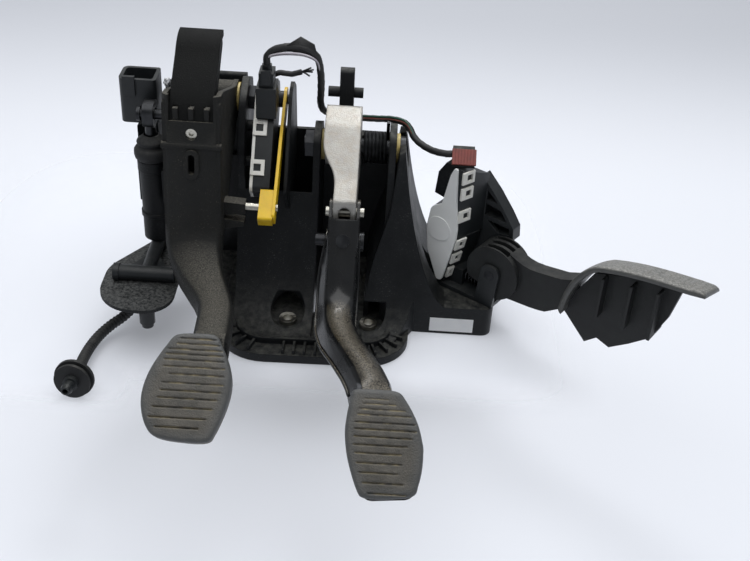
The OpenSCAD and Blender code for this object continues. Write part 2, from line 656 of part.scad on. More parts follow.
module on_clutch_pad() {
  translate([clutch_foot_x, -clutch_pad_reach, clutch_pad_z]) rotate([clutch_pad_tilt, 0, 0]) children();
}
module clutch_arm() {
  inner_left = clutch_x - clutch_half + clutch_wall;
  inner_right = clutch_x + clutch_half - clutch_wall;
  color(black) difference() {
    union() {
      difference() {
        skin(clutch_rings());
        // Recess that the upper lever stands in
        block([clutch_x - upper_lever_w / 2 - 0.1, -60, sill_z],
          [clutch_x + upper_lever_w / 2 + 0.1, -36, tall]);
      }
      // Side walls back to the hub
      for (x = [clutch_x - clutch_half + 0.1, inner_right - 0.1])
        slab(x, x + clutch_wall) polygon(rounded([
          [-45, 216, 4], [-28, 219, 8], [clutch_pivot_y - 10, clutch_pivot_z + 14, 20],
          [clutch_pivot_y + 14, clutch_pivot_z + 14, 13], [clutch_pivot_y + 14, clutch_pivot_z - 14, 13],
          [clutch_pivot_y - 12, clutch_pivot_z - 16, 20], [-20, 122, 30], [-50, 100, 8], [-60, 116, 3]]));
      bar(inner_left - 1, inner_right + 1, clutch_pivot_y, clutch_pivot_z, clutch_hub_d);
      // Web and ribs between the side walls
      slab(inner_left - weld, inner_right + weld) polygon([[-40, 196],
        [clutch_pivot_y - 10, clutch_pivot_z + 4], [clutch_pivot_y - 10, clutch_pivot_z], [-42, 191]]);
      slab(inner_left - weld, inner_right + weld) polygon([[-53, 148], [0, 140], [0, 137], [-54, 144]]);
      // Ridge, slot boss and ribs on the front
      bar(clutch_x - clutch_half - 1, clutch_x + clutch_half + 1, -49.5, 182, 6);
      translate([clutch_x, -52.5, 168]) rotate([80.7, 0, 0]) linear_extrude(6, center = true)
        polygon(rounded([[-6, -12, 5.9], [6, -12, 5.9], [6, 12, 5.9], [-6, 12, 5.9]]));
      for (x = [-12, 0, 12])
        block([clutch_x + x - 2, -47, sill_z - 6], [clutch_x + x + 2, -43.6, sill_z + 10]);
      // Prongs beside the sensor lever
      face_on(drive_y - 5, drive_y + 5) polygon([[clutch_x + clutch_half - 2, drive_z - 6],
        [clutch_x + clutch_half - 2, drive_z + 6], [-69, drive_z + 4.5], [-69, drive_z - 4.5]]);
      face_on(drive_y - 5, drive_y + 5) polygon([[clutch_x + clutch_half - 2, drive_z - 20],
        [clutch_x + clutch_half - 2, drive_z - 10], [-70, drive_z - 12], [-70, drive_z - 16]]);
      on_clutch_pad() linear_extrude(pad_plate_t) polygon(clutch_pad_outline);
      slab(clutch_foot_x - 11, clutch_foot_x + 11)
        polygon(pad_tongue(-clutch_pad_reach, clutch_pad_z, clutch_pad_tilt));
    }
    bar(-170, -80, clutch_pivot_y, clutch_pivot_z, clutch_shaft_d + 4 + 2 * seat_gap);
    bar(-170, -80, pushrod_y, clutch_pivot_z, pushrod_pin_d + 2 * seat_gap);
    bar(-82, -60, drive_y, drive_z, drive_rod_d + 2 * seat_gap);
    // Slot and stud hole in the front wall
    translate([clutch_x, -50, 168]) rotate([84, 0, 0]) linear_extrude(20, center = true)
      polygon(rounded([[-2.5, -8, 2.4], [2.5, -8, 2.4], [2.5, 8, 2.4], [-2.5, 8, 2.4]]));
    translate([clutch_x, -34, 192]) rotate([90, 0, 0]) cylinder(d = 9 + 2 * seat_gap, h = 30);
  }
}
upper_lever_path = concat(
  curve([-47, sill_z], [-44, sill_z + 14], [-26, sill_z + 26], [-8, sill_z + 40], 7),
  curve([-6, sill_z + 42], [0, sill_z + 47], [6, sill_z + 50], [16, sill_z + 49], 5));
module upper_lever_notches() {
  for (x = [-12, 0, 12])
    block([clutch_x + x - 2.1, -60, sill_z - 1], [clutch_x + x + 2.1, -30, sill_z + 10.2]);
}
module clutch_upper_lever() {
  t = 5;
  half = upper_lever_w / 2;
  color(grey_black) difference() {
    union() {
      slab(clutch_x - half, clutch_x + half) polygon(concat(upper_lever_path,
        flip([for (i = [0:len(upper_lever_path) - 1]) let (d = tangent(upper_lever_path, i))
          upper_lever_path[i] + t * [d[1], -d[0]]])));
      // Stiffening ribs on the back
      for (x = [clutch_x - half, clutch_x + half - 3])
        slab(x, x + 3) polygon([[-42, sill_z + 4], [-8, sill_z + 38], [8, sill_z + 46], [10, sill_z + 40],
          [-30, sill_z + 6]]);
    }
    upper_lever_notches();
    block([-tall, -60, sill_z - 20], [tall, 60, sill_z]);
  }
}
module clutch_pad() {
  color("#3a3938") on_clutch_pad() grooved_pad(clutch_pad_outline);
}
module clutch_bushes() {
  inner = clutch_shaft_d + 2 * run_gap;
  for (s = [-1, 1]) {
    edge = clutch_x + s * clutch_half;
    color(beige) union() {
      ring_x(min(edge, edge - s * 14), max(edge, edge - s * 14), clutch_pivot_y, clutch_pivot_z,
        clutch_shaft_d + 4, inner);
      ring_x(min(edge, edge + s * 2), max(edge, edge + s * 2), clutch_pivot_y, clutch_pivot_z,
        clutch_shaft_d + 12, inner);
    }
  }
}
module clutch_shaft() {
  color(steel) union() {
    bar(outer_cheek_x - 1, clutch_cheek_x + cheek_t + 6, clutch_pivot_y, clutch_pivot_z, clutch_shaft_d);
    bar(outer_cheek_x - 6, outer_cheek_x, clutch_pivot_y, clutch_pivot_z, clutch_shaft_d + 10);
  }
}
module clutch_stud() {
  color("#8d8f92") translate([clutch_x, -38, 192]) rotate([90, 0, 0]) difference() {
    cylinder(d = 9, h = 10.5);
    translate([0, 0, 9]) cylinder(d = 4, h = 3);
  }
}
module sensor_drive_rod() {
  color(steel) bar(-81.9, -43, drive_y, drive_z, drive_rod_d);
}
module pushrod_pin() {
  color(steel) union() {
    bar(pushrod_x - 7, clutch_x + clutch_half, pushrod_y, clutch_pivot_z, pushrod_pin_d);
    bar(pushrod_x - 10, pushrod_x - 7, pushrod_y, clutch_pivot_z, pushrod_pin_d + 4);
  }
}

// Clutch master cylinder, its line and its feed hose

cylinder_low = 62;
cylinder_top = 138;
piston_rest = 122;
piston_l = 24;
boot_top = 160;
plate_z = 45;
plate_t = 3;
pipe_d = 13;
pipe_y = -42;
pipe_z = plate_z + plate_t + pipe_d / 2;
// The collar just clears the outer cheek
collar_d = 2 * (outer_cheek_x - pushrod_x) - 0.2;
module master_cylinder() {
  color(black) difference() {
    union() {
      post(pushrod_x, pushrod_y, cylinder_low, cylinder_top, cylinder_d);
      post(pushrod_x, pushrod_y, cylinder_top - 10, cylinder_top, collar_d);
      post(pushrod_x, pushrod_y, 84, 88, cylinder_d + 2);
      // Flange on the outer cheek and its web
      block([outer_cheek_x - 3, -8, 104], [outer_cheek_x, pushrod_y + 20, 134]);
      block([pushrod_x, pushrod_y - 3, 104], [outer_cheek_x - 1, pushrod_y + 3, 134]);
    }
    post(pushrod_x, pushrod_y, cylinder_low + 6, cylinder_top + 1, piston_d + 2 * run_gap);
    post(pushrod_x, pushrod_y, cylinder_low - 1, cylinder_low + 7, 5);
  }
}
module cylinder_boot() {
  r = cylinder_d / 2;
  color("#222224") translate([pushrod_x, pushrod_y, 0]) rotate_extrude() polygon([
    [r - 3, cylinder_top], [r + 1, cylinder_top], [r + 3.5, cylinder_top + 4], [r + 3.5, cylinder_top + 10],
    [r - 1, cylinder_top + 13], [r + 1, cylinder_top + 16], [r - 3, boot_top - 3], [6, boot_top],
    [6, boot_top - 2], [r - 4.5, boot_top - 5], [r - 1, cylinder_top + 16], [r - 3, cylinder_top + 13],
    [r + 1.5, cylinder_top + 9], [r + 1.5, cylinder_top + 5], [r - 3, cylinder_top + 2]]);
}
socket_x0 = -181;
socket_y0 = 24;
socket_w = 31;
socket_d = 26;
socket_low = 161;
socket_top = 200;
module cylinder_sensor() {
  x1 = socket_x0 + socket_w;
  y1 = socket_y0 + socket_d;
  color(grey_black) difference() {
    union() {
      translate([0, 0, socket_low]) linear_extrude(socket_top - socket_low) polygon(rounded([
        [socket_x0, socket_y0, 5], [x1, socket_y0, 3], [x1, y1, 3], [socket_x0, y1, 5]]));
      block([socket_x0 + 15, pushrod_y, 96], [x1, y1 - 4, socket_low + 1]);
      // Latch on the left wall
      block([socket_x0 + 4, socket_y0 - 2, socket_top - 14],
        [socket_x0 + 14, socket_y0 + 1, socket_top + 3]);
    }
    translate([0, 0, socket_low + 12]) linear_extrude(tall) polygon(rounded([
      [socket_x0 + 3, socket_y0 + 3, 3], [x1 - 3, socket_y0 + 3, 2],
      [x1 - 3, y1 - 3, 2], [socket_x0 + 3, y1 - 3, 3]]));
    post(pushrod_x, pushrod_y, 0, cylinder_top - 10, cylinder_d + 4 * seat_gap);
    post(pushrod_x, pushrod_y, cylinder_top - 11, boot_top + 2, cylinder_d + 8);
    post(pushrod_x, pushrod_y, 83, 89, cylinder_d + 3);
  }
}
module piston_spring() {
  r = piston_d / 2 - 1.6;
  color(steel) translate([pushrod_x, pushrod_y, 0]) rotate([0, -90, 0])
    coil(cylinder_low + 6.9, piston_rest - piston_l - 0.9, r, 1.6, 5, 12);
}
module line_plate() {
  color(black) translate([0, 0, plate_z]) linear_extrude(plate_t) polygon(rounded([
    [-190, -84, 33], [-127, -88, 24], [-127, -20, 20], [-132, 24, 8],
    [-156, 24, 14], [-190, -26, 34]], 8));
}
module line_pipe() {
  color("#242426") difference() {
    union() {
      bar(-178, -130, pipe_y, pipe_z, pipe_d);
      bar(-181, -176, pipe_y, pipe_z, pipe_d + 2);
      translate([pushrod_x, pipe_y, pipe_z]) rotate([-90, 0, 0])
        cylinder(d = pipe_d - 1, h = pushrod_y - pipe_y);
      post(pushrod_x, pushrod_y, pipe_z - pipe_d / 2, cylinder_low, pipe_d);
      // Web between the pipe and its branch
      translate([0, 0, pipe_z - 2]) linear_extrude(3)
        polygon([[-174, pipe_y], [-134, pipe_y], [pushrod_x, -6]]);
    }
    post(pushrod_x, pushrod_y, pipe_z - 2, cylinder_low + 1, 5);
    // Flat foot on the plate
    block([-200, pipe_y - 20, plate_z], [-100, pushrod_y + 20, plate_z + plate_t]);
  }
}
port_x = -150;
port_y = -66;
module outlet_port() {
  color(black) union() {
    post(port_x, port_y, 22, plate_z, 13);
    post(port_x, port_y, 18, 22, 10);
  }
}
// Feed hose, from the underside of the line plate to the bulkhead grommet
hose_route = [[-158, -44, 45], [-159, -45, 38], [-164, -48, 26], [-173, -52, 16], [-183, -60, 11],
  [-190, -72, 9], [-194, -88, 9], [-195, -106, 11], [-194, -122, 14], [-193, -134, 17]];
grommet_at = [-193, -134, 17];
grommet_axis_turn = 5;
module along_hose_end() {
  translate(grommet_at) rotate([90 - 8, 0, -grommet_axis_turn]) children();
}
module feed_hose() {
  color("#232325") difference() {
    tube(through(hose_route, 3), hose_d, 10, [0, 0, 1]);
    block([-200, -80, plate_z], [-120, 0, plate_z + 20]);
    along_hose_end() cylinder(d = grommet_d, h = 20);
  }
}
module hose_grommet() {
  color("#1a1a1b") along_hose_end() union() {
    translate([0, 0, 0.05]) cylinder(d = 14, h = 4);
    translate([0, 0, 3]) cylinder(d = grommet_d, h = 3);
    translate([0, 0, 5]) cylinder(d = grommet_d - 8, h = 4);
    translate([0, 0, 8]) cylinder(d = grommet_d - 3, h = 3);
  }
}
module hose_nipple() {
  color("#1a1a1b") along_hose_end() difference() {
    union() {
      translate([0, 0, 11]) cylinder(d = 12, h = 4);
      translate([0, 0, 14]) cylinder(d = 8, h = 10);
      translate([0, 0, 21]) cylinder(d1 = 9.4, d2 = 7, h = 4);
    }
    translate([0, 0, 13]) cylinder(d = 4.5, h = 20);
  }
}
module pushrod() {
  eye_w = 9;
  color(steel) difference() {
    union() {
      post(pushrod_x, pushrod_y, piston_rest, clutch_pivot_z - 6, 9);
      slab(pushrod_x - eye_w / 2, pushrod_x + eye_w / 2) polygon(rounded([
        [pushrod_y - 9, clutch_pivot_z - 10, 6], [pushrod_y + 12, clutch_pivot_z - 10, 6],
        [pushrod_y + 12, clutch_pivot_z + 10, 7], [pushrod_y - 9, clutch_pivot_z + 10, 7]]));
    }
    // Slotted eye: the pin swings on its lever while the rod slides straight
    slab(pushrod_x - eye_w, pushrod_x + eye_w) polygon(rounded([
      [pushrod_y - pushrod_pin_d / 2 - 0.4, clutch_pivot_z - pushrod_pin_d / 2 - 0.4, 2],
      [pushrod_y + pushrod_pin_d / 2 + 3.8, clutch_pivot_z - pushrod_pin_d / 2 - 0.4, 2],
      [pushrod_y + pushrod_pin_d / 2 + 3.8, clutch_pivot_z + pushrod_pin_d / 2 + 0.4, 2],
      [pushrod_y - pushrod_pin_d / 2 - 0.4, clutch_pivot_z + pushrod_pin_d / 2 + 0.4, 2]]));
  }
}
module master_piston() {
  color("#9a9ca0") difference() {
    post(pushrod_x, pushrod_y, piston_rest - piston_l, piston_rest, piston_d);
    translate([pushrod_x, pushrod_y, piston_rest - 8]) difference() {
      cylinder(d = piston_d + 2, h = 3);
      cylinder(d = piston_d - 3, h = 3);
    }
  }
}

// Clutch sensor

sensor_x1 = sensor_x + sensor_t;
sensor_outline = rounded([[30, 197, 6], [-24, 130, 5], [-10, 116, 6], [14, 112, 8],
  [clutch_pivot_y + 13, clutch_pivot_z - 10, 8], [clutch_pivot_y + 13, clutch_pivot_z + 10, 8],
  [48, 197, 6]]);
sensor_stub_d = 8;
plug_z = 206;
lever_x0 = sensor_x1 + 5;
lever_t = 2.5;
module clutch_sensor() {
  color(grey_black) difference() {
    union() {
      slab(sensor_x, sensor_x1) polygon(sensor_outline);
      bar(sensor_x1 - 1, lever_x0 - 0.3, clutch_pivot_y, clutch_pivot_z, 14);
      bar(sensor_x1, lever_x0 + lever_t + 1, clutch_pivot_y, clutch_pivot_z, sensor_stub_d);
      block([sensor_x, 8, 180], [sensor_x + 16, 30, plug_z]);
    }
    for (s = sensor_screw_spots) bar(sensor_x - 1, sensor_x + 8, s[0], s[1], 3);
  }
}
// Direction of the sensor's front face, for the clips that lie on it
sensor_face_a = [30, 197];
sensor_face_b = [-24, 130];
module sensor_cover() {
  along = unit(sensor_face_b - sensor_face_a);
  out = [along[1], -along[0]];
  color(white) union() {
    difference() {
      slab(sensor_x - 2.5, sensor_x) polygon(sensor_outline);
      for (s = sensor_screw_spots) bar(sensor_x - 4, sensor_x + 1, s[0], s[1], sensor_boss_d + 1);
      bar(sensor_x - 4, sensor_x + 1, clutch_pivot_y, clutch_pivot_z, clutch_shaft_d + 10);
    }
    // Clip loops that reach over the face
    for (place = [27, 60]) {
      p = sensor_face_a + along * place;
      q = p + along * 13;
      slab(sensor_x - 2.5, sensor_x - 0.1)
        polygon([p + along * 0.2 - out * 2, q - along * 0.2 - out * 2,
          q - along * 0.2 + out * 1.5, p + along * 0.2 + out * 1.5]);
      difference() {
        slab(sensor_x - 1, sensor_x + 9)
          polygon([p + out * seat_gap, q + out * seat_gap, q + out * 1.8, p + out * 1.8]);
        slab(sensor_x, sensor_x + 6) polygon([p + along * 3.5 - out, q - along * 3.5 - out,
          q - along * 3.5 + out * 3, p + along * 3.5 + out * 3]);
      }
    }
  }
}
module sensor_plug() {
  color("#1e1e20") union() {
    block([sensor_x + 2, 11, plug_z], [sensor_x + 14, 27, plug_z + 12]);
    block([sensor_x + 4, 9, plug_z + 3], [sensor_x + 12, 12, plug_z + 15]);
    post(sensor_x + 8, 19, plug_z + 11, plug_z + 17, 8);
  }
}
harness_d = 6.5;
// Left side of the accelerator plug, where the harness ends
plug_x = 97;
harness_route = [[-58, 19, 223], [-58, 19, 229], [-53, 19, 235], [-42, 18, 239], [-28, 17, 239],
  [-18, 18, 232], [-15, 22, 216], [-15, 30, 198], [-16, 44, 180], [-14, 60, 165], [-6, 80, 152],
  [12, 86, 147], [30, 80, 150], [47, 66, 157], [58, 56, 158], [66, 44, 151], [77, 30, 150],
  [88, 18, 153], [plug_x, 14, 155]];
module sensor_harness() {
  color("#202022") difference() {
    tube(through(harness_route, 3), harness_d, 8, [0.3, 1, 0.2]);
    block([plug_x, 0, plug_low - 10], [plug_x + 20, 40, plug_low + 20]);
    block([sensor_x, 5, plug_z], [sensor_x + 20, 35, plug_z + 17]);
  }
}
stub_route = [[-58, 42, 197], [-57, 42, 202], [-50, 41, 206], [-40, 40, 206], [-32, 39, 209]];
module harness_stub() {
  color("#202022") difference() {
    tube(through(stub_route, 2), 5, 8, [0, 1, 0]);
    block([-70, 30, 180], [-50, 54, 197]);
  }
}
module sensor_lever() {
  to_rod = unit([drive_y - clutch_pivot_y, drive_z - clutch_pivot_z]);
  side = [-to_rod[1], to_rod[0]];
  pivot = [clutch_pivot_y, clutch_pivot_z];
  rod = [drive_y, drive_z];
  function spot(base, a, b) = base + to_rod * a + side * b;
  function with_radius(p, r) = [p[0], p[1], r];
  color("#e2b61c") difference() {
    union() {
      slab(lever_x0, lever_x0 + lever_t) polygon(rounded([
        with_radius(spot(pivot, -10, -10), 9), with_radius(spot(pivot, -10, 10), 9),
        with_radius(spot(rod, 12, 7), 3), with_radius(spot(rod, 12, -7), 3)]));
      slab(lever_x0 - 11, lever_x0 + weld) polygon(rounded([
        with_radius(spot(rod, -14, -6), 2), with_radius(spot(rod, -14, 6), 2),
        with_radius(spot(rod, 14, 6), 2), with_radius(spot(rod, 14, -6), 2)]));
    }
    bar(sensor_x1, lever_x0 + 10, clutch_pivot_y, clutch_pivot_z, sensor_stub_d + 2 * run_gap);
    bar(-70, -30, drive_y, drive_z, drive_rod_d + 0.6);
  }
}

// Accelerator, drawn with its pedal running along X and its pivot along Y, then turned into place

acc_y0 = 58;
acc_y1 = acc_y0 + acc_t;
acc_mid = acc_y0 + acc_t / 2;
acc_pivot_x = 124;
acc_cover_t = 2;
acc_hub_w = acc_t - 10;
module acc_place() {
  rotate([0, 0, acc_turn]) children();
}
acc_cover_corners = [[84, 149, 1], [86, 121, 20], [89.5, 92, 10], [89, 82, 4], [79, 37, 3], [74, 35, 3],
  [62, 62, 12], [59, 86, 12], [62, 106, 8], [72, 112, 4], [78, 142, 12], [81, 149, 1]];
// Plan angle of the housing's front wall, and where it starts
acc_wall_turn = 14.8;
acc_wall_x = 88;
acc_screw_d = 5;
acc_screw_spots = [[66, 80], [90.5, 99]];
module acc_round(y0, y1, x, z, d) {
  translate([x, y0, z]) rotate([-90, 0, 0]) cylinder(d = d, h = y1 - y0);
}
module accel_housing() {
  pillar = [[112, platform_h, 0], [130, platform_h, 0], [acc_pivot_x + 9, acc_pivot_z + 2, 8],
    [acc_pivot_x + 8, acc_pivot_z + 9, 7], [acc_pivot_x - 8, acc_pivot_z + 9, 7],
    [acc_pivot_x - 9, acc_pivot_z, 8]];
  cheek = [[90, 100, 0], [112, 84, 10], [acc_pivot_x + 12, acc_pivot_z + 10, 10],
    [acc_pivot_x + 12, acc_pivot_z - 12, 10], [114, platform_h, 0], [84, platform_h, 0]];
  wall_end = acc_wall_x + tan(acc_wall_turn) * acc_t;
  color("#2a2a2c") acc_place() difference() {
    union() {
      // Body behind the cover, with its front wall turned out
      intersection() {
        face_on(acc_y0, acc_y1) polygon(rounded([
          [81, 149, 2], [93, 149, 3], [99, 92, 0], [99, 83, 0], [89, 81, 2], [79, 37, 3], [74, 35, 3],
          [62, 62, 12], [59, 86, 12], [62, 106, 8], [72, 112, 4], [78, 142, 12]]));
        linear_extrude(tall) polygon([[40, acc_y0 - 1], [acc_wall_x, acc_y0 - 1], [acc_wall_x, acc_y0],
          [wall_end, acc_y1], [wall_end, acc_y1 + 1], [40, acc_y1 + 1]]);
        slab(40, 120) polygon([[acc_y0, 0], [acc_y0, 149], [acc_y1, 135], [acc_y1, 0]]);
      }
      // Sloping side below the front wall, and the seat of the springs
      translate([acc_wall_x, acc_y0, 0]) rotate([0, 0, -acc_wall_turn]) face_on(0, 28)
        polygon([[-16, 82], [1, 82], [-9, 37], [-16, 37]]);
      block([76, acc_y0 + 9, platform_h + 3], [spring_seat_x, acc_y1 - 3, 47]);
      face_on(acc_y0 + 3, acc_y1) polygon([[72, platform_h], [77, platform_h], [84, 60], [68, 60]]);
      // Pillar, cheek and foot that hold the pivot pin
      face_on(acc_y0 + 1, acc_y0 + 4) polygon(rounded(pillar));
      face_on(acc_y1 - 4, acc_y1) polygon(rounded(cheek));
      block([74, acc_y0 + 1, platform_h], [130, acc_y1, platform_h + 4]);
      // Feet under the fixing screws
      for (spot = acc_screw_spots)
        block([spot[0] - 7, spot[1] - 8, platform_h], [spot[0] + 9, spot[1] + 7, platform_h + 4]);
      // Fins over the hub
      difference() {
        face_on(acc_y1 - 4, acc_y1 + 8)
          polygon([[90, 133], [104, 120], [118, 104], [126, 93], [127, 82], [90, 74]]);
        for (slot = [[[97, 121], [97, 112], [108, 112]], [[97, 108], [97, 97], [119, 97], [112, 106]],
            [[97, 93], [97, 81], [123, 86], [122, 92]]])
          face_on(acc_y1 - 5, acc_y1 + 6) polygon(slot);
      }
    }
    acc_round(acc_y0 - 1, acc_y1 + 1, acc_pivot_x, acc_pivot_z, acc_pin_d + 2 * seat_gap);
    for (spot = acc_screw_spots)
      post(spot[0], spot[1], platform_h - 1, platform_h + 5, acc_screw_d + 2 * seat_gap);
  }
}
module accel_cover() {
  color("#a7a9a6") acc_place() union() {
    face_on(acc_y0 - acc_cover_t, acc_y0) polygon(rounded(flip(acc_cover_corners)));
    acc_round(acc_y0 - acc_cover_t - 0.6, acc_y0 - acc_cover_t + weld, 71.5, 87, 23);
  }
}
// Clip loops that hold the cover: three on the front wall, three on the sloping side below it
module clip_loop(length) {
  difference() {
    block([seat_gap, 0, -5.5], [1.8, length, 5.5]);
    block([-1, length * 0.36, -3], [4, length - 2.4, 3]);
  }
}
module accel_clips() {
  edge_turn = atan2(10, 45);
  color(white) acc_place() union() {
    for (z = [141, 126, 104])
      translate([acc_wall_x, acc_y0, z]) rotate([0, 0, -acc_wall_turn]) clip_loop(13);
    for (spot = [[76, 11], [60, 11], [44, 7]])
      translate([acc_wall_x, acc_y0, 0]) rotate([0, 0, -acc_wall_turn])
        translate([1.25 - (82 - spot[0]) * tan(edge_turn), 0, spot[0]]) rotate([0, edge_turn, 0])
          clip_loop(spot[1]);
  }
}
module accel_socket() {
  color(black) acc_place() face_on(acc_y0 + 3, acc_y0 + 24) polygon([
    [81, 149.02], [70, 149.02], [63, 138], [61, 117], [72.55, 115.2], [77.9, 142]]);
}
plug_w = 18;
plug_low = 149.1;
module accel_plug() {
  color(black) slab(plug_x, plug_x + plug_w)
    polygon([[2, plug_low], [3, plug_low + 1.6], [13, plug_low + 10.8], [20, plug_low + 10.8],
      [26, plug_low + 2], [26, plug_low]]);
}
// Ribbed slide that locks the plug
module accel_lock() {
  color("#7d352d") translate([plug_x - 1, 3, plug_low + 1.6]) rotate([42.6, 0, 0]) union() {
    block([0, 0, 0.02], [plug_w + 2, 13.5, 2]);
    for (k = [0:7])
      block([0.6 + k * 2.5, 0, 2 - weld], [2 + k * 2.5, 13.5, 2.7]);
  }
}
module accel_shaft() {
  color("#3a3a3c") acc_place() acc_round(acc_y0 + 1, acc_y1, acc_pivot_x, acc_pivot_z, acc_pin_d);
}
spring_z = 40;
spring_seat_x = 93.7;
spring_r = 4;
toe_x = 112;
module accel_springs() {
  color("#77797c") acc_place() for (y = [-2, 8]) translate([0, acc_mid + y, spring_z])
    coil(spring_seat_x + 0.9, toe_x - 1.1, spring_r, 1.6, 5, 12);
}
module accel_screws() {
  color(steel) acc_place() for (spot = acc_screw_spots) union() {
    post(spot[0], spot[1], platform_h - wall - 2, platform_h + 4.5, acc_screw_d);
    post(spot[0], spot[1], platform_h + 4.02, platform_h + 8, 9.5);
  }
}
acc_pad_curve = concat(curve([194, 52], [197, 74], [204, 93], [221, 103], 7),
  curve([227, 105.5], [acc_pad_reach - 56, 113], [acc_pad_reach - 24, 114], [acc_pad_reach, 117], 7));
// Arm, swept up from the hub, with the web and ribs that carry the pad
module accel_arm_form(grow) {
  face_on(acc_mid - acc_arm_w / 2 - grow, acc_mid + acc_arm_w / 2 + grow) polygon(concat(
    curve([118, 84], [136, 90], [142, 74], [164, 77], 8), [[186, 80], [196, 84], [204, 92]],
    [[200, 74], [195, 58], [190, 52]], curve([176, 42], [160, 38], [146, 40], [130, 37], 6)));
  face_on(acc_mid - 2.5 - grow, acc_mid + 2.5 + grow) polygon([[188, 52], [214, 27], [224, 36], [236, 32],
    [252, 44], [268, 58], [278, 82], [284, 110], [250, 108], [212, 96]]);
  for (x = [222, 246, 268])
    face_on(acc_mid - 12 - grow, acc_mid + 12 + grow) polygon([[x - grow, 62], [x + 2.5 + grow, 62],
      [x + 2.5 + grow, 100 + (x - 222) * 0.16], [x - grow, 99 + (x - 222) * 0.16]]);
}
module accel_arm() {
  hub0 = acc_mid - acc_hub_w / 2;
  hub1 = acc_mid + acc_hub_w / 2;
  color(black) acc_place() difference() {
    union() {
      acc_round(hub0, hub1, acc_pivot_x, acc_pivot_z, 50);
      accel_arm_form(0);
      // Toe against the springs
      face_on(hub0, hub1) polygon([[toe_x, 34], [toe_x, 46], [118, 50], [122, 38]]);
    }
    // Room for the springs in front of the toe
    face_on(hub0 - 1, hub1 + 1) polygon([[toe_x, 30], [toe_x, 46], [98, 50], [90, 30]]);
    acc_round(acc_y0, acc_y1, acc_pivot_x, acc_pivot_z, acc_pin_d + 2 * run_gap);
    // Ribbed top of the hub
    for (y = [-8, 0, 8])
      face_on(acc_mid + y - 2.4, acc_mid + y + 2.4)
        polygon([[112, 96], [112, 84], [120, 76], [136, 76], [138, 96]]);
    // Hollow in the arm's underside
    face_on(acc_mid - 6, acc_mid + 6) polygon([[150, 30], [152, 52], [182, 58], [182, 30]]);
  }
}
module accel_pad() {
  roll = 18;
  t = 5;
  half = acc_pad_w / 2;
  n = len(acc_pad_curve) - 1;
  color("#262627") acc_place() difference() {
    skin([for (i = [0:n]) let (
        p = acc_pad_curve[i], d = tangent(acc_pad_curve, i), out = [-d[1], d[0]],
        w = half * (0.72 + 0.28 * ease(i / 6)) * (i > n - 2 ? 0.9 : 1), tilt = tan(roll) * ease(i / 8))
      [for (c = [[-w, t - 1.5], [-w + 2, t], [w - 2, t], [w, t - 1.5], [w, 0.2], [-w, 0.2]])
        [p[0] + out[0] * c[1], acc_mid + c[0], p[1] + out[1] * c[1] - c[0] * tilt]]]);
    accel_arm_form(seat_gap);
  }
}

bracket();
bulkhead_seal();
stud_sleeves();
support_pin();
label();
brake_shaft();
brake_bushes();
shaft_nuts();
brake_spring();
clutch_shaft();
master_cylinder();
cylinder_boot();
cylinder_sensor();
piston_spring();
line_plate();
line_pipe();
outlet_port();
feed_hose();
hose_grommet();
hose_nipple();
clutch_sensor();
sensor_cover();
sensor_plug();
sensor_harness();
harness_stub();
accel_housing();
accel_cover();
accel_clips();
accel_socket();
accel_plug();
accel_lock();
accel_shaft();
accel_springs();
accel_screws();
clutch_arm();
clutch_upper_lever();
clutch_pad();
clutch_bushes();
clutch_stud();
sensor_drive_rod();
pushrod_pin();
sensor_lever();
pushrod();
master_piston();
brake_lever();
brake_arm();
brake_pad();
link_pin();
link_bolt();
booster_pin();
pin_clip();
accel_arm();
accel_pad();
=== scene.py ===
import math
import bmesh
import bpy
from mathutils import Matrix, Vector, noise


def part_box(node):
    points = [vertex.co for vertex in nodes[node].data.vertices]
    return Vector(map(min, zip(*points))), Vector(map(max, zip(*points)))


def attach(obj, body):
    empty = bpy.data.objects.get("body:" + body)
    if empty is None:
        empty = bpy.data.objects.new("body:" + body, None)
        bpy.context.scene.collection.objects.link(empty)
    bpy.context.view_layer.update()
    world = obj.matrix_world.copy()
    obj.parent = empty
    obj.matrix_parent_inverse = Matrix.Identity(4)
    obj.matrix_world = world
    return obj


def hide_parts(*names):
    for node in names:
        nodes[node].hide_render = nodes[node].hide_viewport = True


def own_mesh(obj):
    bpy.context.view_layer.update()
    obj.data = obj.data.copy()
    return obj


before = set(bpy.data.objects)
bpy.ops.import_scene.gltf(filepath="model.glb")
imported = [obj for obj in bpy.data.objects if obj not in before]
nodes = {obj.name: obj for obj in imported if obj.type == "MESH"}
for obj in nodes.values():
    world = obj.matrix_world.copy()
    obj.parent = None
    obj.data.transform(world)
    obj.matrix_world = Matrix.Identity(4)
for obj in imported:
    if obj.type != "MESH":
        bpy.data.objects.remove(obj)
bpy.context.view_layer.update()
scene = bpy.context.scene
scene.view_settings.view_transform = "Standard"
mm = 0.001
print("frame loaded:", len(nodes), "pieces")


# camera, at the place and angle the photograph was taken from
cameraLook = {"focalPx": 1100.0, "imagePx": 750.0, "sensorMm": 36.0, "elevation": 35.0, "roll": 3.5,
              "place": (38.70, -797.27, 590.09), "clip": (0.01, 50)}


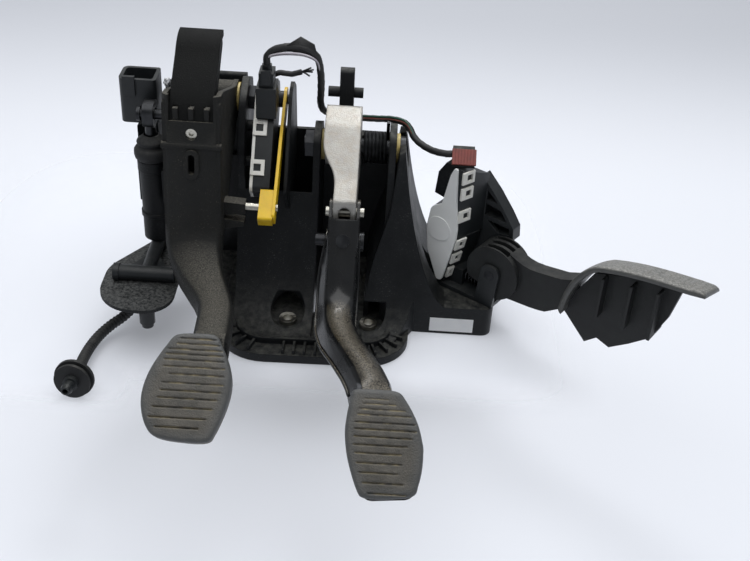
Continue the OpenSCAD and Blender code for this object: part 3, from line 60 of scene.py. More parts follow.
def makeCamera(look):
    data = bpy.data.cameras.new("camera")
    data.sensor_width = look["sensorMm"]
    data.lens = look["focalPx"] / look["imagePx"] * look["sensorMm"]
    data.clip_start, data.clip_end = look["clip"]
    e = math.radians(look["elevation"])
    r = math.radians(look["roll"])
    flatRight = Vector((1, 0, 0))
    flatUp = Vector((0, math.sin(e), math.cos(e)))
    back = Vector((0, -math.cos(e), math.sin(e)))
    right = math.cos(r) * flatRight + math.sin(r) * flatUp
    up = -math.sin(r) * flatRight + math.cos(r) * flatUp
    camera = bpy.data.objects.new("camera", data)
    turn = Matrix((right, up, back)).transposed().to_4x4()
    camera.matrix_world = Matrix.Translation(Vector(look["place"]) * mm) @ turn
    scene.collection.objects.link(camera)
    scene.camera = camera


makeCamera(cameraLook)


# colours are written as sRGB hex and turned to linear here
def linear(hexColour):
    parts = [int(hexColour[i:i + 2], 16) / 255 for i in (1, 3, 5)]
    return tuple(c / 12.92 if c <= 0.04045 else ((c + 0.055) / 1.055) ** 2.4 for c in parts) + (1.0,)


# socket values and links of a node; a node given as a source stands for its first output
def setNode(tree, node, values, links):
    for socket, value in values.items():
        node.inputs[socket].default_value = value
    for socket, source in links.items():
        tree.links.new(source.outputs[0] if hasattr(source, "outputs") else source, node.inputs[socket])


# one node with its settings, socket values and links
def addNode(tree, kind, values=None, links=None, **settings):
    node = tree.nodes.new("ShaderNode" + kind)
    for name, value in settings.items():
        setattr(node, name, value)
    setNode(tree, node, values or {}, links or {})
    return node


def newMaterial(name):
    material = bpy.data.materials.new(name)
    material.use_nodes = True
    return material, material.node_tree, material.node_tree.nodes["Principled BSDF"]


# pattern scale for a feature of this size
def perMetre(sizeMm):
    return 1000.0 / sizeMm


# the part of a pattern that is used, and what it is spread to
def fromTo(cut, spread=(0.0, 1.0)):
    return {"From Min": cut[0], "From Max": cut[1], "To Min": spread[0], "To Max": spread[1]}


# places and colours of a ramp's two stops
def setStops(ramp, positions, shades):
    for stop, position, shade in zip(ramp.color_ramp.elements, positions, shades):
        stop.position = position
        stop.color = linear(shade)


# where each noise is cut, from 0 to 1, and how fine its detail goes
finishCuts = {"mottle": (0.34, 0.68), "patch": (0.4, 0.62), "speckSpan": 0.1, "dustAndTopLight": (0.38, 0.66),
              "rough": (0.3, 0.7), "mottleDetail": 4.0, "grainDetail": 3.0, "dustAndTopLightDetail": 6.0,
              "dustAndTopLightRoughness": 0.7, "edgeSamples": 4, "coatRough": 0.12}


# a moulded, cast or coated surface: mottled colour, bright specks, dust and painted top light on up-facing
# faces, grain and soft edges
def makeFinish(name, look, cuts):
    material, tree, shader = newMaterial(name)
    place = addNode(tree, "TexCoord")
    spot = {"Vector": place.outputs["Object"]}
    mottle = addNode(tree, "TexNoise",
                     {"Scale": perMetre(look["mottleMm"]), "Detail": cuts["mottleDetail"]}, spot)
    colour = addNode(tree, "ValToRGB", links={"Fac": mottle})
    setStops(colour, cuts["mottle"], look["colours"])
    grain = addNode(tree, "TexNoise",
                    {"Scale": perMetre(look["grainMm"]), "Detail": cuts["grainDetail"]}, spot)
    if "speck" in look:
        speck, start = look["speck"]
        cut = addNode(tree, "MapRange", fromTo((start, start + cuts["speckSpan"])), {"Value": grain})
        patch = addNode(tree, "MapRange", fromTo(cuts["patch"]), {"Value": mottle})
        both = addNode(tree, "Math", links={0: cut, 1: patch}, operation="MULTIPLY")
        colour = addNode(tree, "Mix", {7: linear(speck)}, {0: both, 6: colour},
                         data_type="RGBA").outputs[2]
    # dust on up-facing faces, on some finishes also painted top light and sheen, laid on by the slope of
    # the face
    if "dustAndTopLight" in look:
        dustAndTopLight, start, most, dustAndTopLightMm = look["dustAndTopLight"]
        up = addNode(tree, "SeparateXYZ", links={0: place.outputs["Normal"]}).outputs["Z"]
        level = addNode(tree, "MapRange", fromTo((start, 1.0), (0.0, most)), {"Value": up})
        cloud = addNode(tree, "TexNoise", {"Scale": perMetre(dustAndTopLightMm), "Detail": cuts["dustAndTopLightDetail"],
                                           "Roughness": cuts["dustAndTopLightRoughness"]}, spot)
        shape = addNode(tree, "MapRange", fromTo(cuts["dustAndTopLight"]), {"Value": cloud})
        amount = addNode(tree, "Math", links={0: level, 1: shape}, operation="MULTIPLY")
        colour = addNode(tree, "Mix", {7: linear(dustAndTopLight)}, {0: amount, 6: colour},
                         data_type="RGBA").outputs[2]
    rough = addNode(tree, "MapRange", fromTo(cuts["rough"], look["rough"]), {"Value": mottle})
    soft = addNode(tree, "Bevel", {"Radius": look["edgeMm"] * mm}, samples=cuts["edgeSamples"])
    bump = addNode(tree, "Bump", {"Strength": look["bump"], "Distance": look["grainMm"] * mm},
                   {"Height": grain, "Normal": soft})
    # the default IOR, 1.5, is about right for all these plastics and stays for the metals
    setNode(tree, shader, {"Metallic": look.get("metal", 0.0), "Specular IOR Level": look.get("gloss", 0.5),
                           "Coat Weight": look.get("coat", 0.0), "Coat Roughness": cuts["coatRough"]},
            {"Base Color": colour, "Roughness": rough, "Normal": bump})
    return material


# what the three wire covers share
wireCover = {"mottleMm": 9, "grainMm": 0.6, "bump": 0.03, "rough": (0.35, 0.45), "edgeMm": 0.2}
# real mould grain is 0.1 to 0.2 mm, too fine to show here, so grainMm draws it at about 1 mm;
# edgeMm rounds the edges in shading, speck is a colour and where the grain is cut, and the up-facing pale
# colour
# is real dust and painted top light: the colour, the slope it starts at, the most of it and its patches in
# mm
finishes = {
    # glass-filled nylon, spark-eroded mould: deep black, satin, fine grain with pale glass specks; its tops
    # paler with dust and painted top light
    "mouldedBlackNylon": {
        "colours": ("#101214", "#191b1d"), "mottleMm": 26, "grainMm": 0.9, "bump": 0.25,
        "rough": (0.42, 0.58), "edgeMm": 1.6, "speck": ("#4c4d4b", 0.62),
        "dustAndTopLight": ("#5c5c57", 0.5, 0.55, 7), "gloss": 0.2},
    # the same nylon on the clutch arm, scuffed by shoes: brownish grey with bright glass specks; its
    # up-facing faces paler with scuffs and a painted sheen
    "scuffedSheenMouldedNylon": {
        "colours": ("#121312", "#1d1d1b"), "mottleMm": 22, "grainMm": 0.9, "bump": 0.6,
        "rough": (0.52, 0.68), "edgeMm": 1.2, "speck": ("#66635b", 0.64),
        "dustAndTopLight": ("#6f6b61", 0.62, 0.75, 0.9), "gloss": 0.27},
    # upper lever plate: the same nylon, unworn, so it is matt and nearly black
    "mattMouldedNylon": {
        "colours": ("#0a0b0b", "#111212"), "mottleMm": 18, "grainMm": 0.9, "bump": 0.4,
        "rough": (0.62, 0.74), "edgeMm": 0.8, "speck": ("#3d3e3c", 0.66), "gloss": 0.14},
    # nylon plate near the floor: greyed on top by settled dust and painted top light
    "dustyTopLitMouldedNylon": {
        "colours": ("#151718", "#1f2123"), "mottleMm": 20, "grainMm": 0.9, "bump": 0.3,
        "rough": (0.5, 0.64), "edgeMm": 1.0, "speck": ("#63635f", 0.63),
        "dustAndTopLight": ("#7c7d7b", 0.5, 0.5, 2.5), "gloss": 0.25},
    # nylon arm from a duller mould face: dark grey, with a low even sheen
    "dullMouldedNylon": {
        "colours": ("#1b1c1d", "#282a2a"), "mottleMm": 20, "grainMm": 0.8, "bump": 0.3,
        "rough": (0.5, 0.62), "edgeMm": 0.8, "speck": ("#5c5a55", 0.66),
        "dustAndTopLight": ("#4b4a46", 0.3, 0.4, 8), "gloss": 0.3},
    # nylon tread polished by shoe soles: mid grey, smoother, with pale scuffs and a painted sheen on top
    "shoeWornSheenNylon": {
        "colours": ("#454645", "#565653"), "mottleMm": 12, "grainMm": 0.9, "bump": 0.35,
        "rough": (0.38, 0.55), "edgeMm": 0.6, "dustAndTopLight": ("#a8a6a0", 0.45, 0.85, 1.6)},
    # PBT of sensors and plugs, polished mould: smooth, dark grey, low sheen
    "mouldedDarkPbt": {
        "colours": ("#1c1f21", "#25282a"), "mottleMm": 18, "grainMm": 0.7, "bump": 0.12,
        "rough": (0.36, 0.5), "edgeMm": 0.6, "dustAndTopLight": ("#4a4b48", 0.5, 0.35, 8), "gloss": 0.35},
    # PBT cover, polished mould: smooth and pale grey, a little dirty on top
    "mouldedGreyPbt": {
        "colours": ("#eceeec", "#f2f3f2"), "mottleMm": 24, "grainMm": 0.8, "bump": 0.1,
        "rough": (0.4, 0.55), "edgeMm": 0.7, "dustAndTopLight": ("#8d8a82", 0.2, 0.3, 6)},
    # moulded acetal clips: waxy white
    "mouldedWhiteAcetal": {
        "colours": ("#e4e2da", "#efeee8"), "mottleMm": 9, "grainMm": 0.7, "bump": 0.05,
        "rough": (0.32, 0.45), "edgeMm": 0.4},
    # moulded acetal lever: strong yellow, waxy
    "mouldedYellowAcetal": {
        "colours": ("#dcb206", "#ecc41a"), "mottleMm": 10, "grainMm": 0.7, "bump": 0.05,
        "rough": (0.3, 0.45), "edgeMm": 0.5, "dustAndTopLight": ("#8c7420", 0.5, 0.3, 5)},
    # moulded acetal of the bearing bushes: pale ochre, waxy
    "mouldedOchreAcetal": {
        "colours": ("#c3ad68", "#d2bf80"), "mottleMm": 8, "grainMm": 0.7, "bump": 0.05,
        "rough": (0.35, 0.5), "edgeMm": 0.4},
    # moulded nylon slide of the plug: dull brick red
    "mouldedBrickNylon": {
        "colours": ("#72322b", "#874038"), "mottleMm": 8, "grainMm": 0.7, "bump": 0.1,
        "rough": (0.45, 0.6), "edgeMm": 0.3},
    # die-cast aluminium, shot blasted: pale grey metal, softly rough, with darker stains
    "blastedCastAluminium": {
        "colours": ("#93918d", "#a9a8a4"), "mottleMm": 14, "grainMm": 1.1, "bump": 0.35,
        "rough": (0.36, 0.5), "edgeMm": 2.0, "metal": 0.75,
        "dustAndTopLight": ("#8c7f6c", -0.2, 0.4, 5)},
    # black e-coat dipped on pressed steel: glossy, with brown dust where it lies flat
    "dippedBlackECoat": {
        "colours": ("#0a0b0c", "#111213"), "mottleMm": 20, "grainMm": 1.4, "bump": 0.06,
        "rough": (0.22, 0.34), "edgeMm": 2.4, "coat": 0.3,
        "dustAndTopLight": ("#8a8273", 0.86, 0.8, 1.1), "gloss": 0.35},
    # zinc plate on small steel parts: bright, pale and slightly warm
    "zincPlatedSteel": {
        "colours": ("#a9a79e", "#bdbab0"), "mottleMm": 6, "grainMm": 0.6, "bump": 0.08,
        "rough": (0.26, 0.4), "edgeMm": 0.4, "metal": 1.0},
    # turned and oiled steel of shafts, nuts and springs: dark, with soft highlights
    "turnedOiledSteel": {
        "colours": ("#2c2d2f", "#3c3d3f"), "mottleMm": 6, "grainMm": 0.6, "bump": 0.1,
        "rough": (0.3, 0.45), "edgeMm": 0.4, "metal": 0.9},
    # moulded EPDM rubber of hose, grommet, boot and seal: soft matt black, dust on top
    "mouldedBlackEpdm": {
        "colours": ("#1a1b1c", "#242526"), "mottleMm": 9, "grainMm": 0.7, "bump": 0.2,
        "rough": (0.55, 0.7), "edgeMm": 0.5, "dustAndTopLight": ("#5b5a55", 0.2, 0.35, 5), "gloss": 0.35},
    # woven cloth tape wound round the wires: black, coarse, half matt
    "wovenClothTape": {
        "colours": ("#151617", "#1f2021"), "mottleMm": 6, "grainMm": 0.8, "bump": 0.4,
        "rough": (0.45, 0.62), "edgeMm": 0.3},
    # extruded PVC wire covers: smooth, even colour, a thin line of sheen
    "extrudedPaleWire": {"colours": ("#b9b4bd", "#cfcbd2"), **wireCover},
    "extrudedRedWire": {"colours": ("#5d342c", "#6f4036"), **wireCover},
    "extrudedGreenWire": {"colours": ("#24453a", "#2e5546"), **wireCover},
    # coated paper sticker: flat white, nearly matt
    "coatedStickerPaper": {
        "colours": ("#f1f2f3", "#f7f8f8"), "mottleMm": 12, "grainMm": 0.6, "bump": 0.05,
        "rough": (0.5, 0.6), "edgeMm": 0.2},
    # lithium grease, smeared: whitish, lumpy and wet
    "smearedWhiteGrease": {
        "colours": ("#c9cbd0", "#e8e9ec"), "mottleMm": 3, "grainMm": 1.2, "bump": 0.5,
        "rough": (0.2, 0.35), "edgeMm": 0.3},
}
materials = {name: makeFinish(name, look, finishCuts) for name, look in finishes.items()}
print("finishes made:", len(materials))

# the solids that stay, by finish
nodeFinish = {
    "mouldedBlackNylon": ["bracket", "support_pin", "master_cylinder", "accel_socket", "accel_plug"],
    "dustyTopLitMouldedNylon": ["line_plate"],
    "mattMouldedNylon": ["clutch_upper_lever"],
    "scuffedSheenMouldedNylon": ["clutch_arm"],
    "dullMouldedNylon": ["accel_arm"],
    "mouldedDarkPbt": ["cylinder_sensor", "line_pipe", "outlet_port", "hose_nipple", "clutch_sensor",
                       "sensor_plug", "accel_housing"],
    "mouldedGreyPbt": ["accel_cover"],
    "mouldedWhiteAcetal": ["sensor_cover", "accel_clips"],
    "mouldedYellowAcetal": ["sensor_lever"],
    "mouldedOchreAcetal": ["brake_bushes", "clutch_bushes"],
    "mouldedBrickNylon": ["accel_lock"],
    "blastedCastAluminium": ["brake_lever", "master_piston"],
    "dippedBlackECoat": ["brake_arm"],
    "zincPlatedSteel": ["stud_sleeves", "link_pin", "clutch_stud", "sensor_drive_rod", "pin_clip",
                        "accel_screws"],
    "turnedOiledSteel": ["brake_shaft", "shaft_nuts", "brake_spring", "clutch_shaft", "accel_shaft",
                         "pushrod_pin", "pushrod", "link_bolt", "booster_pin"],
    "mouldedBlackEpdm": ["bulkhead_seal", "hose_grommet"],
    "coatedStickerPaper": ["label"],
}
shading = {"weldMm": 0.002, "crease": 30,
           "creaseOf": {"clutch_arm": 62, "brake_arm": 62, "brake_lever": 40}}


# the solids keep their mesh; welding and creasing only set how they shade
def dressNode(name, finish, look):
    piece = nodes[name]
    piece.data.materials.clear()
    piece.data.materials.append(materials[finish])
    if "custom_normal" in piece.data.attributes:
        piece.data.attributes.remove(piece.data.attributes["custom_normal"])
    piece.data.polygons.foreach_set("use_smooth", [True] * len(piece.data.polygons))
    weld = piece.modifiers.new("weld", "WELD")
    weld.merge_threshold = look["weldMm"] * mm
    crease = piece.modifiers.new("crease", "EDGE_SPLIT")
    crease.split_angle = math.radians(look["creaseOf"].get(name, look["crease"]))
    crease.use_edge_sharp = False


for finish, names in nodeFinish.items():
    for name in names:
        dressNode(name, finish, shading)
print("solids dressed")


def addPiece(name, bm, finish, body, stands=(), smooth=True):
    mesh = bpy.data.meshes.new(name)
    bmesh.ops.recalc_face_normals(bm, faces=bm.faces)
    bm.to_mesh(mesh)
    bm.free()
    mesh.polygons.foreach_set("use_smooth", [smooth] * len(mesh.polygons))
    mesh.materials.append(materials[finish])
    piece = bpy.data.objects.new(name, mesh)
    scene.collection.objects.link(piece)
    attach(piece, body)
    if stands:
        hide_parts(*stands)
    return piece


# a point of the smooth line between b and c
def smoothBetween(a, b, c, d, t):
    return 0.5 * (2 * b + (c - a) * t + (2 * a - 5 * b + 4 * c - d) * t * t
                  + (3 * b - a - 3 * c + d) * t * t * t)


# points along a smooth line through a route, as in the solids
def throughPoints(route, steps):
    points = [Vector(p) for p in route]
    last = len(points) - 1
    line = []
    for i in range(last):
        a, b, c, d = points[max(i - 1, 0)], points[i], points[i + 1], points[min(i + 2, last)]
        line += [smoothBetween(a, b, c, d, k / steps) for k in range(steps)]
    line.append(points[last])
    return line


# a tube of rings along a line; size is its radius, or a function of the length so far and the turn
def tubeAlong(line, size, sides):
    bm = bmesh.new()
    rings = []
    gone = 0.0
    side = None
    for i, p in enumerate(line):
        ahead = (line[min(i + 1, len(line) - 1)] - line[max(i - 1, 0)]).normalized()
        if side is None:
            side = ahead.orthogonal().normalized()
        side = (side - ahead * side.dot(ahead)).normalized()
        other = ahead.cross(side)
        if i:
            gone += (p - line[i - 1]).length
        ring = []
        for k in range(sides):
            turn = k * math.tau / sides
            r = size(gone, turn) if callable(size) else size
            ring.append(bm.verts.new((p + r * (math.cos(turn) * side + math.sin(turn) * other)) * mm))
        rings.append(ring)
    for low, high in zip(rings, rings[1:]):
        for k in range(sides):
            bm.faces.new((low[k], low[(k + 1) % sides], high[(k + 1) % sides], high[k]))
    bm.faces.new(rings[0][::-1])
    bm.faces.new(rings[-1])
    return bm


# a closed block between two loops of points in mm
def addBlock(bm, near, far):
    loops = [[bm.verts.new(Vector(p) * mm) for p in loop] for loop in (near, far)]
    bm.faces.new(loops[0])
    bm.faces.new(loops[1][::-1])
    for k in range(len(near)):
        bm.faces.new((loops[0][k], loops[0][k - 1], loops[1][k - 1], loops[1][k]))


# feed hose, from under the line plate to the grommet that lies on the floor
feedHose = {"route": [(-158, -44, 45), (-159, -45, 38), (-164, -48, 26), (-173, -52, 16), (-183, -60, 11),
                      (-190, -72, 9), (-194, -88, 9), (-195, -106, 11), (-194, -122, 14), (-193, -134, 17)],
            "diameter": 9.0, "ribPitch": 3.3, "ribDepth": 0.55, "ribSwing": 0.5, "ribSink": 0.2,
            "steps": 30, "sides": 18}


def makeFeedHose(look):
    line = throughPoints(look["route"], look["steps"])

    def ribbed(gone, turn):
        wave = look["ribSwing"] * math.cos(gone * math.tau / look["ribPitch"]) - look["ribSink"]
        return look["diameter"] / 2 + look["ribDepth"] * wave

    hose = addPiece("feedHose", tubeAlong(line, ribbed, look["sides"]), "mouldedBlackEpdm", "bracket",
                    ["feed_hose"])


makeFeedHose(feedHose)


# tape wound with a lap: each turn starts proud by the lip and sinks to nothing
def tapeWound(look):
    def radius(gone, turn):
        along = (gone / look["tapeStep"] + turn / math.tau) % 1.0
        return look["diameter"] / 2 - look["tapeLip"] * along
    return radius


# wiring loom, taped along its length, with loose wires near the sensor plug and two laid along it behind;
# the ends of the wires are places in the route, and aside is how far each one stands off the tape
loom = {"route": [(-58, 19, 223), (-58, 19, 229), (-53, 19, 235), (-42, 18, 239), (-28, 17, 239),
                  (-18, 18, 232), (-15, 22, 216), (-15, 30, 198), (-16, 44, 180), (-14, 60, 165),
                  (-6, 80, 152), (12, 86, 147), (30, 80, 150), (47, 66, 157), (58, 56, 158),
                  (66, 44, 151), (77, 30, 150), (88, 18, 153), (97, 14, 155)],
        "diameter": 6.2, "tapeStep": 9.0, "tapeLip": 0.35, "steps": 9, "sides": 16,
        "wireDiameter": 1.7, "wireSides": 8, "bow": (0.35, 0.9), "lay": (0.4, 4),
        "looseWire": {"ends": (1, 6), "paths": [("extrudedPaleWire", (0, -3.4, -3.0)),
                                                ("extrudedPaleWire", (0, -1.4, -4.6)),
                                                ("wovenClothTape", (0, 2.0, -3.6))]},
        "sideWire": {"ends": (10, 15), "paths": [("extrudedRedWire", (0, -3.6, 1.6)),
                                                 ("extrudedGreenWire", (0, -2.6, 3.2))]},
        "flag": [(-46, 16.5, 238), (-31, 16.0, 249), (-20, 16.0, 243), (-17, 16.5, 231)], "flagThick": 1.6}


# share of its aside that a wire has at one of its points
def bowOut(look, i, count):
    return look["bow"][0] + look["bow"][1] * math.sin(math.pi * i / (count - 1))


def lieBeside(look, i, count):
    return min(1.0, look["lay"][0] + look["lay"][1] * min(i, count - 1 - i) / count)


def makeLoom(look):
    line = throughPoints(look["route"], look["steps"])
    addPiece("wiringLoom", tubeAlong(line, tapeWound(look), look["sides"]), "wovenClothTape", "bracket",
             ["sensor_harness"])
    for group, shareAt in (("looseWire", bowOut), ("sideWire", lieBeside)):
        first, last = (k * look["steps"] for k in look[group]["ends"])
        part = line[first:last]
        for number, (finish, aside) in enumerate(look[group]["paths"]):
            run = [p + Vector(aside) * shareAt(look, i, len(part)) for i, p in enumerate(part)]
            wire = tubeAlong(run, look["wireDiameter"] / 2, look["wireSides"])
            addPiece("%s%d" % (group, number + 1), wire, finish, "bracket")
    bm = bmesh.new()
    half = Vector((0, look["flagThick"] / 2, 0))
    addBlock(bm, [Vector(p) - half for p in look["flag"]], [Vector(p) + half for p in look["flag"]])
    addPiece("tapeEnd", bm, "wovenClothTape", "bracket")


makeLoom(loom)


# short taped lead behind the sensor, with its wires fanned out at the end
stubLead = {"route": [(-58, 42, 197), (-57, 42, 202), (-50, 41, 206), (-40, 40, 206), (-32, 39, 209)],
            "diameter": 5.0, "tapeStep": 7, "tapeLip": 0.3, "steps": 8, "sides": 12,
            "fan": [(-24, 37, 214), (-22, 40, 211), (-23, 42, 208), (-25, 36, 207)], "fanSteps": 6,
            "wireDiameter": 1.5, "wireSides": 8}


def makeStubLead(look):
    line = throughPoints(look["route"], look["steps"])
    addPiece("stubLead", tubeAlong(line, tapeWound(look), look["sides"]), "wovenClothTape", "bracket",
             ["harness_stub"])
    for number, tip in enumerate(look["fan"]):
        bend = throughPoints([look["route"][-2], look["route"][-1], tip], look["fanSteps"])
        wire = tubeAlong(bend[look["fanSteps"]:], look["wireDiameter"] / 2, look["wireSides"])
        addPiece("stubWire%d" % (number + 1), wire, "wovenClothTape", "bracket")


makeStubLead(stubLead)
print("wiring made")


# coil springs and the cylinder boot, made once; the real ones shorten as a pedal goes down
def coilLine(start, way, length, radius, turns, perTurn=16):
    way = way.normalized()
    side = way.orthogonal().normalized()
    other = way.cross(side)
    count = int(turns * perTurn)
    line = []
    for k in range(count + 1):
        turn = k * math.tau / perTurn
        around = math.cos(turn) * side + math.sin(turn) * other
        line.append(start + way * length * k / count + radius * around)
    return line


pistonSpring = {"wire": 1.6, "wireSides": 8, "turns": 5, "keep": 0.48}


def makePistonSpring(look):
    low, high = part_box("piston_spring")
    start = Vector(((low.x + high.x) / 2, (low.y + high.y) / 2, low.z)) / mm
    radius = (high.x - low.x) / 2 / mm - look["wire"] / 2
    start.z += look["wire"] / 2
    length = (high.z - low.z) / mm - look["wire"]
    line = coilLine(start, Vector((0, 0, 1)), length, radius, look["turns"])
    spring = addPiece("pistonCoil", tubeAlong(line, look["wire"] / 2, look["wireSides"]),
                      "turnedOiledSteel", "bracket", ["piston_spring"])
    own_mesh(spring)


# the profile is radius and height, up the outside and down the inside
boot = {"sides": 40, "keep": 0.31,
        "profile": [(8.5, 0), (12.5, 0), (14.4, 2), (15, 5), (14.8, 8.5), (13, 11), (10.5, 12.6),
                    (10.6, 14), (12.3, 15.6), (11.4, 17.4), (8.8, 19), (6.6, 21.6), (6.0, 22), (6.0, 20),
                    (7, 17.2), (9.6, 15.6), (8.5, 12.8), (12.6, 8), (12.8, 5), (8.5, 2)]}


def makeBoot(look):
    low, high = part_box("cylinder_boot")
    foot = Vector(((low.x + high.x) / 2, (low.y + high.y) / 2, low.z)) / mm
    bm = bmesh.new()
    rings = []
    for k in range(look["sides"]):
        turn = k * math.tau / look["sides"]
        ring = [foot + Vector((r * math.cos(turn), r * math.sin(turn), h)) for r, h in look["profile"]]
        rings.append([bm.verts.new(p * mm) for p in ring])
    count = len(look["profile"])
    for k in range(look["sides"]):
        a, b = rings[k], rings[(k + 1) % look["sides"]]
        for i in range(count):
            j = (i + 1) % count
            bm.faces.new((a[i], b[i], b[j], a[j]))
    piece = addPiece("bootBellows", bm, "mouldedBlackEpdm", "bracket", ["cylinder_boot"])
    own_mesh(piece)


accelSprings = {"turn": -35, "seat": 94.6, "length": 16.3, "radius": 4.0, "wire": 1.6, "wireSides": 8,
                "turns": 5, "height": 40, "across": (73, 83), "keep": 0.6}


def makeAccelSprings(look):
    turn = Matrix.Rotation(math.radians(look["turn"]), 3, "Z")
    way = turn @ Vector((1, 0, 0))
    for number, across in enumerate(look["across"]):
        start = turn @ Vector((look["seat"], across, look["height"]))
        line = coilLine(start, way, look["length"], look["radius"], look["turns"])
        stands = ["accel_springs"] if number == 0 else ()
        coil = tubeAlong(line, look["wire"] / 2, look["wireSides"])
        spring = addPiece("accelCoil%d" % (number + 1), coil, "turnedOiledSteel", "bracket",
                          stands)
        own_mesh(spring)


makePistonSpring(pistonSpring)
makeBoot(boot)
makeAccelSprings(accelSprings)
print("springs and boot made")


# moulded pad rubber: worn dark grey, paler where shoes rub, tan dirt with a painted highlight on the
# groove lips and painted shade on the groove floors; its grain is drawn coarser than real too, so that it
# shows
padRubber = {"base": "#44423d", "worn": "#615d55", "cloudMm": 13, "cloudCut": (0.36, 0.66),
             "cloudDetail": 6.0, "cloudRoughness": 0.65, "dirtAndHighlight": "#908569", "dirtAndHighlightMm": 9,
             "dirtAndHighlightCut": (0.42, 0.62), "dirtAndHighlightMost": 0.85, "dirtAndHighlightDetail": 3.0, "lipCut": (0.08, 0.4),
             "border": "#4d5052", "borderCut": (0.3, 0.95), "borderMost": 0.7,
             "grooveFloorShade": "#1b1a17", "floorCut": (0.55, 0.95), "roughCut": (0.3, 0.7),
             "rough": (0.48, 0.66), "grainMm": 1.1, "grainDetail": 3.0, "bump": 0.55, "ior": 1.52}


def makePadRubber(name, look):
    material, tree, shader = newMaterial(name)
    spot = {"Vector": addNode(tree, "TexCoord").outputs["Object"]}
    depth = {"Value": addNode(tree, "Attribute", attribute_name="groove").outputs["Fac"]}
    edge = {"Value": addNode(tree, "Attribute", attribute_name="border").outputs["Fac"]}
    cloud = addNode(tree, "TexNoise", {"Scale": perMetre(look["cloudMm"]), "Detail": look["cloudDetail"],
                                       "Roughness": look["cloudRoughness"]}, spot)
    worn = addNode(tree, "ValToRGB", links={"Fac": cloud})
    setStops(worn, look["cloudCut"], (look["base"], look["worn"]))
    # tan on the lips of the grooves, in patches: dirt with a painted highlight
    lip = addNode(tree, "MapRange", fromTo(look["lipCut"]), depth)
    patch = addNode(tree, "TexNoise",
                    {"Scale": perMetre(look["dirtAndHighlightMm"]), "Detail": look["dirtAndHighlightDetail"]}, spot)
    patchCut = addNode(tree, "MapRange", fromTo(look["dirtAndHighlightCut"], (0.0, look["dirtAndHighlightMost"])), {"Value": patch})
    dirtAndHighlightShare = addNode(tree, "Math", links={0: lip, 1: patchCut}, operation="MULTIPLY")
    # the border is cleaner and bluer than the tread, and the floor of a groove gets painted shade
    rim = addNode(tree, "MapRange", fromTo(look["borderCut"], (0.0, look["borderMost"])), edge)
    grooveShade = addNode(tree, "MapRange", fromTo(look["floorCut"]), depth)
    colour = worn
    for amount, shade in ((rim, "border"), (dirtAndHighlightShare, "dirtAndHighlight"), (grooveShade, "grooveFloorShade")):
        colour = addNode(tree, "Mix", {7: linear(look[shade])}, {0: amount, 6: colour},
                         data_type="RGBA").outputs[2]
    rough = addNode(tree, "MapRange", fromTo(look["roughCut"], look["rough"]), {"Value": cloud})
    grain = addNode(tree, "TexNoise",
                    {"Scale": perMetre(look["grainMm"]), "Detail": look["grainDetail"]}, spot)
    bump = addNode(tree, "Bump", {"Strength": look["bump"], "Distance": look["grainMm"] * mm},
                   {"Height": grain})
    setNode(tree, shader, {"IOR": look["ior"]}, {"Base Color": colour, "Roughness": rough, "Normal": bump})
    return material


materials["mouldedPadRubber"] = makePadRubber("mouldedPadRubber", padRubber)


# a smooth closed outline through the points of a pad
def closedOutline(points, steps):
    spots = [Vector(p) for p in points]
    count = len(spots)
    outline = []
    for i in range(count):
        a, b, c, d = (spots[(i + k) % count] for k in (-1, 0, 1, 2))
        outline += [smoothBetween(a, b, c, d, k / steps) for k in range(steps)]
    return outline


# left and right edge of an outline at one height
def spanAt(outline, y):
    crossings = []
    for a, b in zip(outline, outline[1:] + outline[:1]):
        if (a.y - y) * (b.y - y) < 0:
            crossings.append(a.x + (b.x - a.x) * (y - a.y) / (b.y - a.y))
    return min(crossings), max(crossings)


# how far a point lies from an outline
def edgeDistance(outline, p):
    tiny = 1e-9  # keeps a side of no length from dividing by nothing
    distances = []
    for a, b in zip(outline, outline[1:] + outline[:1]):
        d = b - a
        t = max(0.0, min(1.0, (p - a).dot(d) / max(d.length_squared, tiny)))
        distances.append((a + d * t - p).length)
    return min(distances)


# pads in mm on their own plane; a groove is its y, its two ends in x and its share of the depth
brakePad = {
    "name": "brakePadRubber", "node": "brake_pad", "body": "brake_pedal",
    "origin": (44.67, -208, 82), "tilt": 43,
    "outline": [(-15.3, 0), (0, 0.6), (14, 0.2), (20.5, -5.3), (29.4, -20.3), (33.9, -35.5), (34.6, -49.1),
                (32.5, -62.8), (28.5, -71), (10, -74), (-4.5, -73.8), (-10, -68.6), (-17.3, -48.8),
                (-20.3, -31.9), (-20, -19.8), (-18, -7)],
    "grooves": [(-6.2, -8.4, 9, 0.4), (-9.7, -9, 14, 0.5), (-13.4, -11.3, 21, 0.6), (-17.3, -12.5, 25, 0.7),
                (-22.5, -14, 28, 0.9), (-27.2, -14, 29, 1), (-32.3, -14, 26, 1), (-38, -14, 23, 1),
                (-43.5, -12.7, 19.4, 1), (-50.2, -11.3, 20, 1), (-56.7, -9.1, 18, 1), (-63.6, -6.3, 22, 1),
                (-70.5, -2.4, 24, 1)]}
